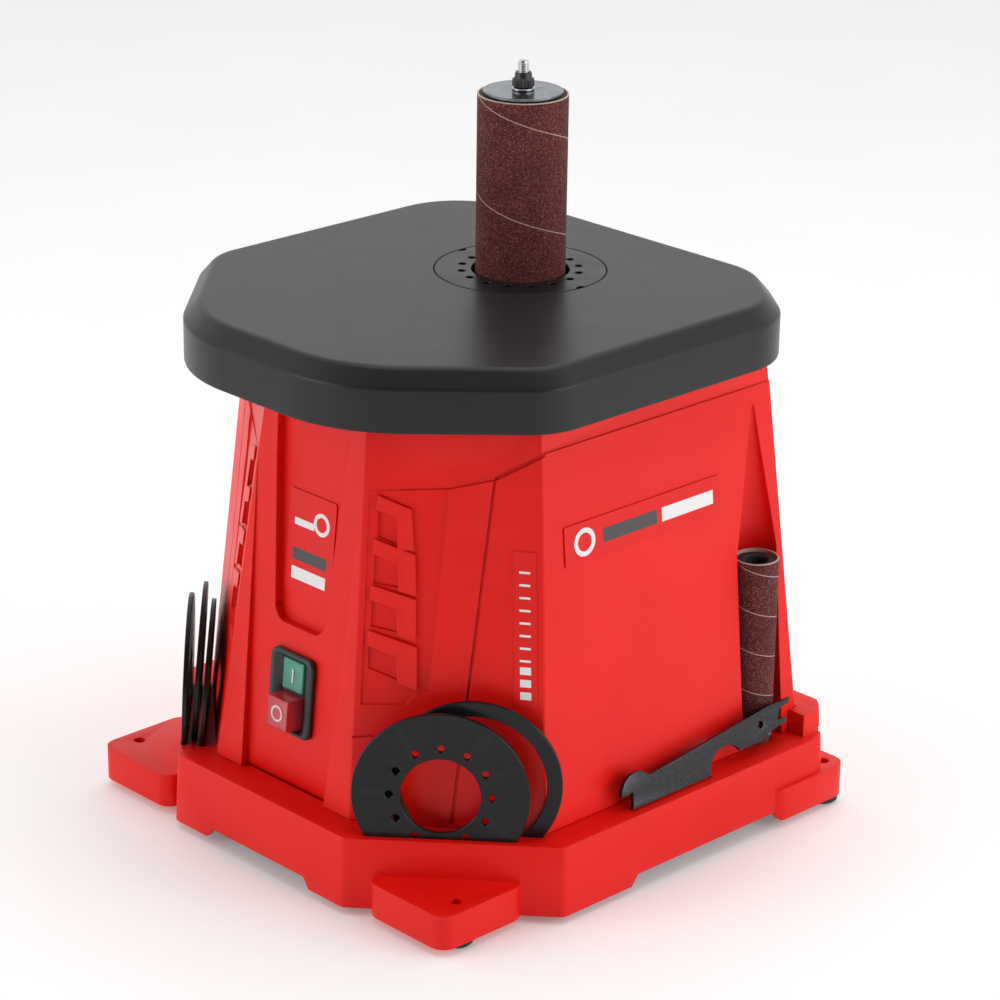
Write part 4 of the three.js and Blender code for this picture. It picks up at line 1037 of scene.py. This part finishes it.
def side_plate():
    rings = [[(out, y, z) for y, z in rectangle(*SIDE_PLATE)] for out in (GAP, PLATE_FACE)]
    plate = finish_mesh("side_plate", loft(rings), SIDE_LABEL, M["plate_red"])
    ride_for(plate, "root", "side_label")

    def face(u, v, lift):
        return (PLATE_FACE - MARK_SINK + lift, u, v)

    plate_bars("side_plate_grey", [((-32, 10), (-4, 4))], SIDE_LABEL, M["grey"], face)
    plate_bars("side_plate_white", [((14, 55), (-4, 4))], SIDE_LABEL, M["white"], face)
    place = SIDE_LABEL @ Matrix.Translation(face(-46, 0, 0)) @ Matrix.Rotation(math.pi / 2, 4, "Y")
    plate_ring("side_plate_ring", 8, 5.2, place)


def corner_plate():
    low, high = CORNER_LABEL
    near, far = CORNER_PLATE_U
    levels = [[(near, low, out), (far, low, out), (far, high, out), (near, high, out)]
              for out in CORNER_PLATE_OUT]
    plate = finish_mesh("corner_plate", over_chamfer(1, levels), MACHINE, M["plate_red"])
    ride_for(plate, "root", "corner_label")

    def face(u, v, lift):
        return chamfer_point(1, u, v, CORNER_PLATE_OUT[1] - MARK_SINK + lift)

    starts = [low + 4 + DASH_STEP * k for k in range(DASHES)]
    dashes = [(DASH_U, (v, v + (4.2 if k < TALL_DASHES else 1.2))) for k, v in enumerate(starts)]
    plate_bars("corner_plate_white", dashes, MACHINE, M["white"], face)


# ------------------------------------------------------------------ the rest of the frame
def softened_nodes():
    plinth = soften("base_plinth", "plinth", M["red"], "root", 1.0, 3, 40)
    tool = soften("wrench", "flat_wrench", M["dark_steel"], "wrench", 0.35, 2, 40)
    for node, width in (("dust_port", 0.6), ("cable_gland", 0.5), ("dust_chute", 0.5), ("bottom_cover", 0.5)):
        soften(node, node + "_made", M["black"], "root", width)
    for i, spot in enumerate(FEET, 1):
        foot = finish_mesh(f"foot_{i}", turn_profile(FOOT_PROFILE, 64, spot), MACHINE, M["rubber"])
        ride_for(foot, "root", f"rubber_foot_{i}")


def plain_nodes():
    """CAD nodes whose shape is right keep it and get a finish."""
    finishes = {
        "steel": ["upper_bearing", "lower_bearing", "stator_core", "rotor_core", "rotor_sleeve", "worm",
                  "crankshaft", "yoke", "guide_rod_1", "guide_rod_2", "spindle_bearing", "spindle_collar",
                  "table_screw_1", "table_screw_2", "table_screw_3", "table_screw_4"],
        "cast": ["upper_frame", "motor_housing", "motor_end_bell", "gearbox_frame", "carriage", "capacitor"],
        "copper": ["winding_upper", "winding_lower"],
        "brass": ["worm_wheel"],
        "black": ["cooling_fan"],
        "white": ["terminal_block"],
    }
    for finish, nodes in finishes.items():
        for node in nodes:
            NODES[node].data.materials.clear()
            NODES[node].data.materials.append(M[finish])


# ------------------------------------------------------------------ studio
def camera():
    a, e, roll = CAMERA_AZIMUTH, CAMERA_ELEVATION, CAMERA_ROLL
    back = Vector((math.sin(a) * math.cos(e), -math.cos(a) * math.cos(e), math.sin(e)))
    right = Vector((math.cos(a), math.sin(a), 0))
    up = back.cross(right)
    rolled_right = right * math.cos(roll) + up * math.sin(roll)
    rolled_up = up * math.cos(roll) - right * math.sin(roll)
    data = bpy.data.cameras.new("camera")
    data.lens = CAMERA_LENS
    data.sensor_width = 36
    data.clip_end = 50
    obj = bpy.data.objects.new("camera", data)
    bpy.context.scene.collection.objects.link(obj)
    turn = Matrix((rolled_right, rolled_up, back)).transposed().to_4x4()
    obj.matrix_world = Matrix.Translation(CAMERA_PLACE) @ turn
    bpy.context.scene.camera = obj
    return back


def softbox(name, place, size, power):
    data = bpy.data.lights.new(name, "AREA")
    data.shape = "RECTANGLE"
    data.size, data.size_y = size
    data.energy = power
    obj = bpy.data.objects.new(name, data)
    bpy.context.scene.collection.objects.link(obj)
    obj.location = place
    obj.rotation_mode = "QUATERNION"
    obj.rotation_quaternion = (Vector(AIM) - Vector(place)).to_track_quat("-Z", "Y")


def world(back):
    """A room that is white all round and darker behind the camera."""
    sky = bpy.data.worlds.new("room")
    bpy.context.scene.world = sky
    sky.use_nodes = True
    tree = sky.node_tree
    coord = tree.nodes.new("ShaderNodeTexCoord")
    dot = tree.nodes.new("ShaderNodeVectorMath")
    dot.operation = "DOT_PRODUCT"
    dot.inputs[1].default_value = back
    ramp = tree.nodes.new("ShaderNodeValToRGB")
    ramp.color_ramp.elements[0].position = 0.3
    ramp.color_ramp.elements[0].color = (1, 1, 1, 1)
    ramp.color_ramp.elements[1].position = 0.75
    ramp.color_ramp.elements[1].color = (0.06, 0.06, 0.06, 1)
    tree.links.new(coord.outputs["Generated"], dot.inputs[0])
    tree.links.new(dot.outputs["Value"], ramp.inputs["Fac"])
    tree.links.new(ramp.outputs["Color"], tree.nodes["Background"].inputs["Color"])
    tree.nodes["Background"].inputs["Strength"].default_value = 1.0


def studio():
    back = camera()
    world(back)
    bm = bmesh.new()
    bmesh.ops.create_grid(bm, x_segments=8, y_segments=8, size=12)
    n = Nodes("floor_paper")
    tone = n.ramp(n.noise(6, 2), [(0.3, (0.93, 0.93, 0.93)), (0.7, (0.95, 0.95, 0.95))])
    paper = n.set(Base_Color=tone, Roughness=0.9, Emission_Strength=0.14,
                  Emission_Color=(1.0, 1.0, 1.0, 1.0))
    floor = finish_mesh("floor", bm, Matrix.Translation((0, 0, -0.0005)), paper)
    for name, (place, size, power) in SOFTBOXES.items():
        softbox(name, place, size, power)
    scene = bpy.context.scene
    scene.view_settings.view_transform = "Standard"
    scene.view_settings.look = "None"


# ------------------------------------------------------------------ assembly
tower()
table()
inserts()
spindle_stack()
spare_set()
switch()
front_plate()
side_plate()
corner_plate()
softened_nodes()
plain_nodes()
studio()
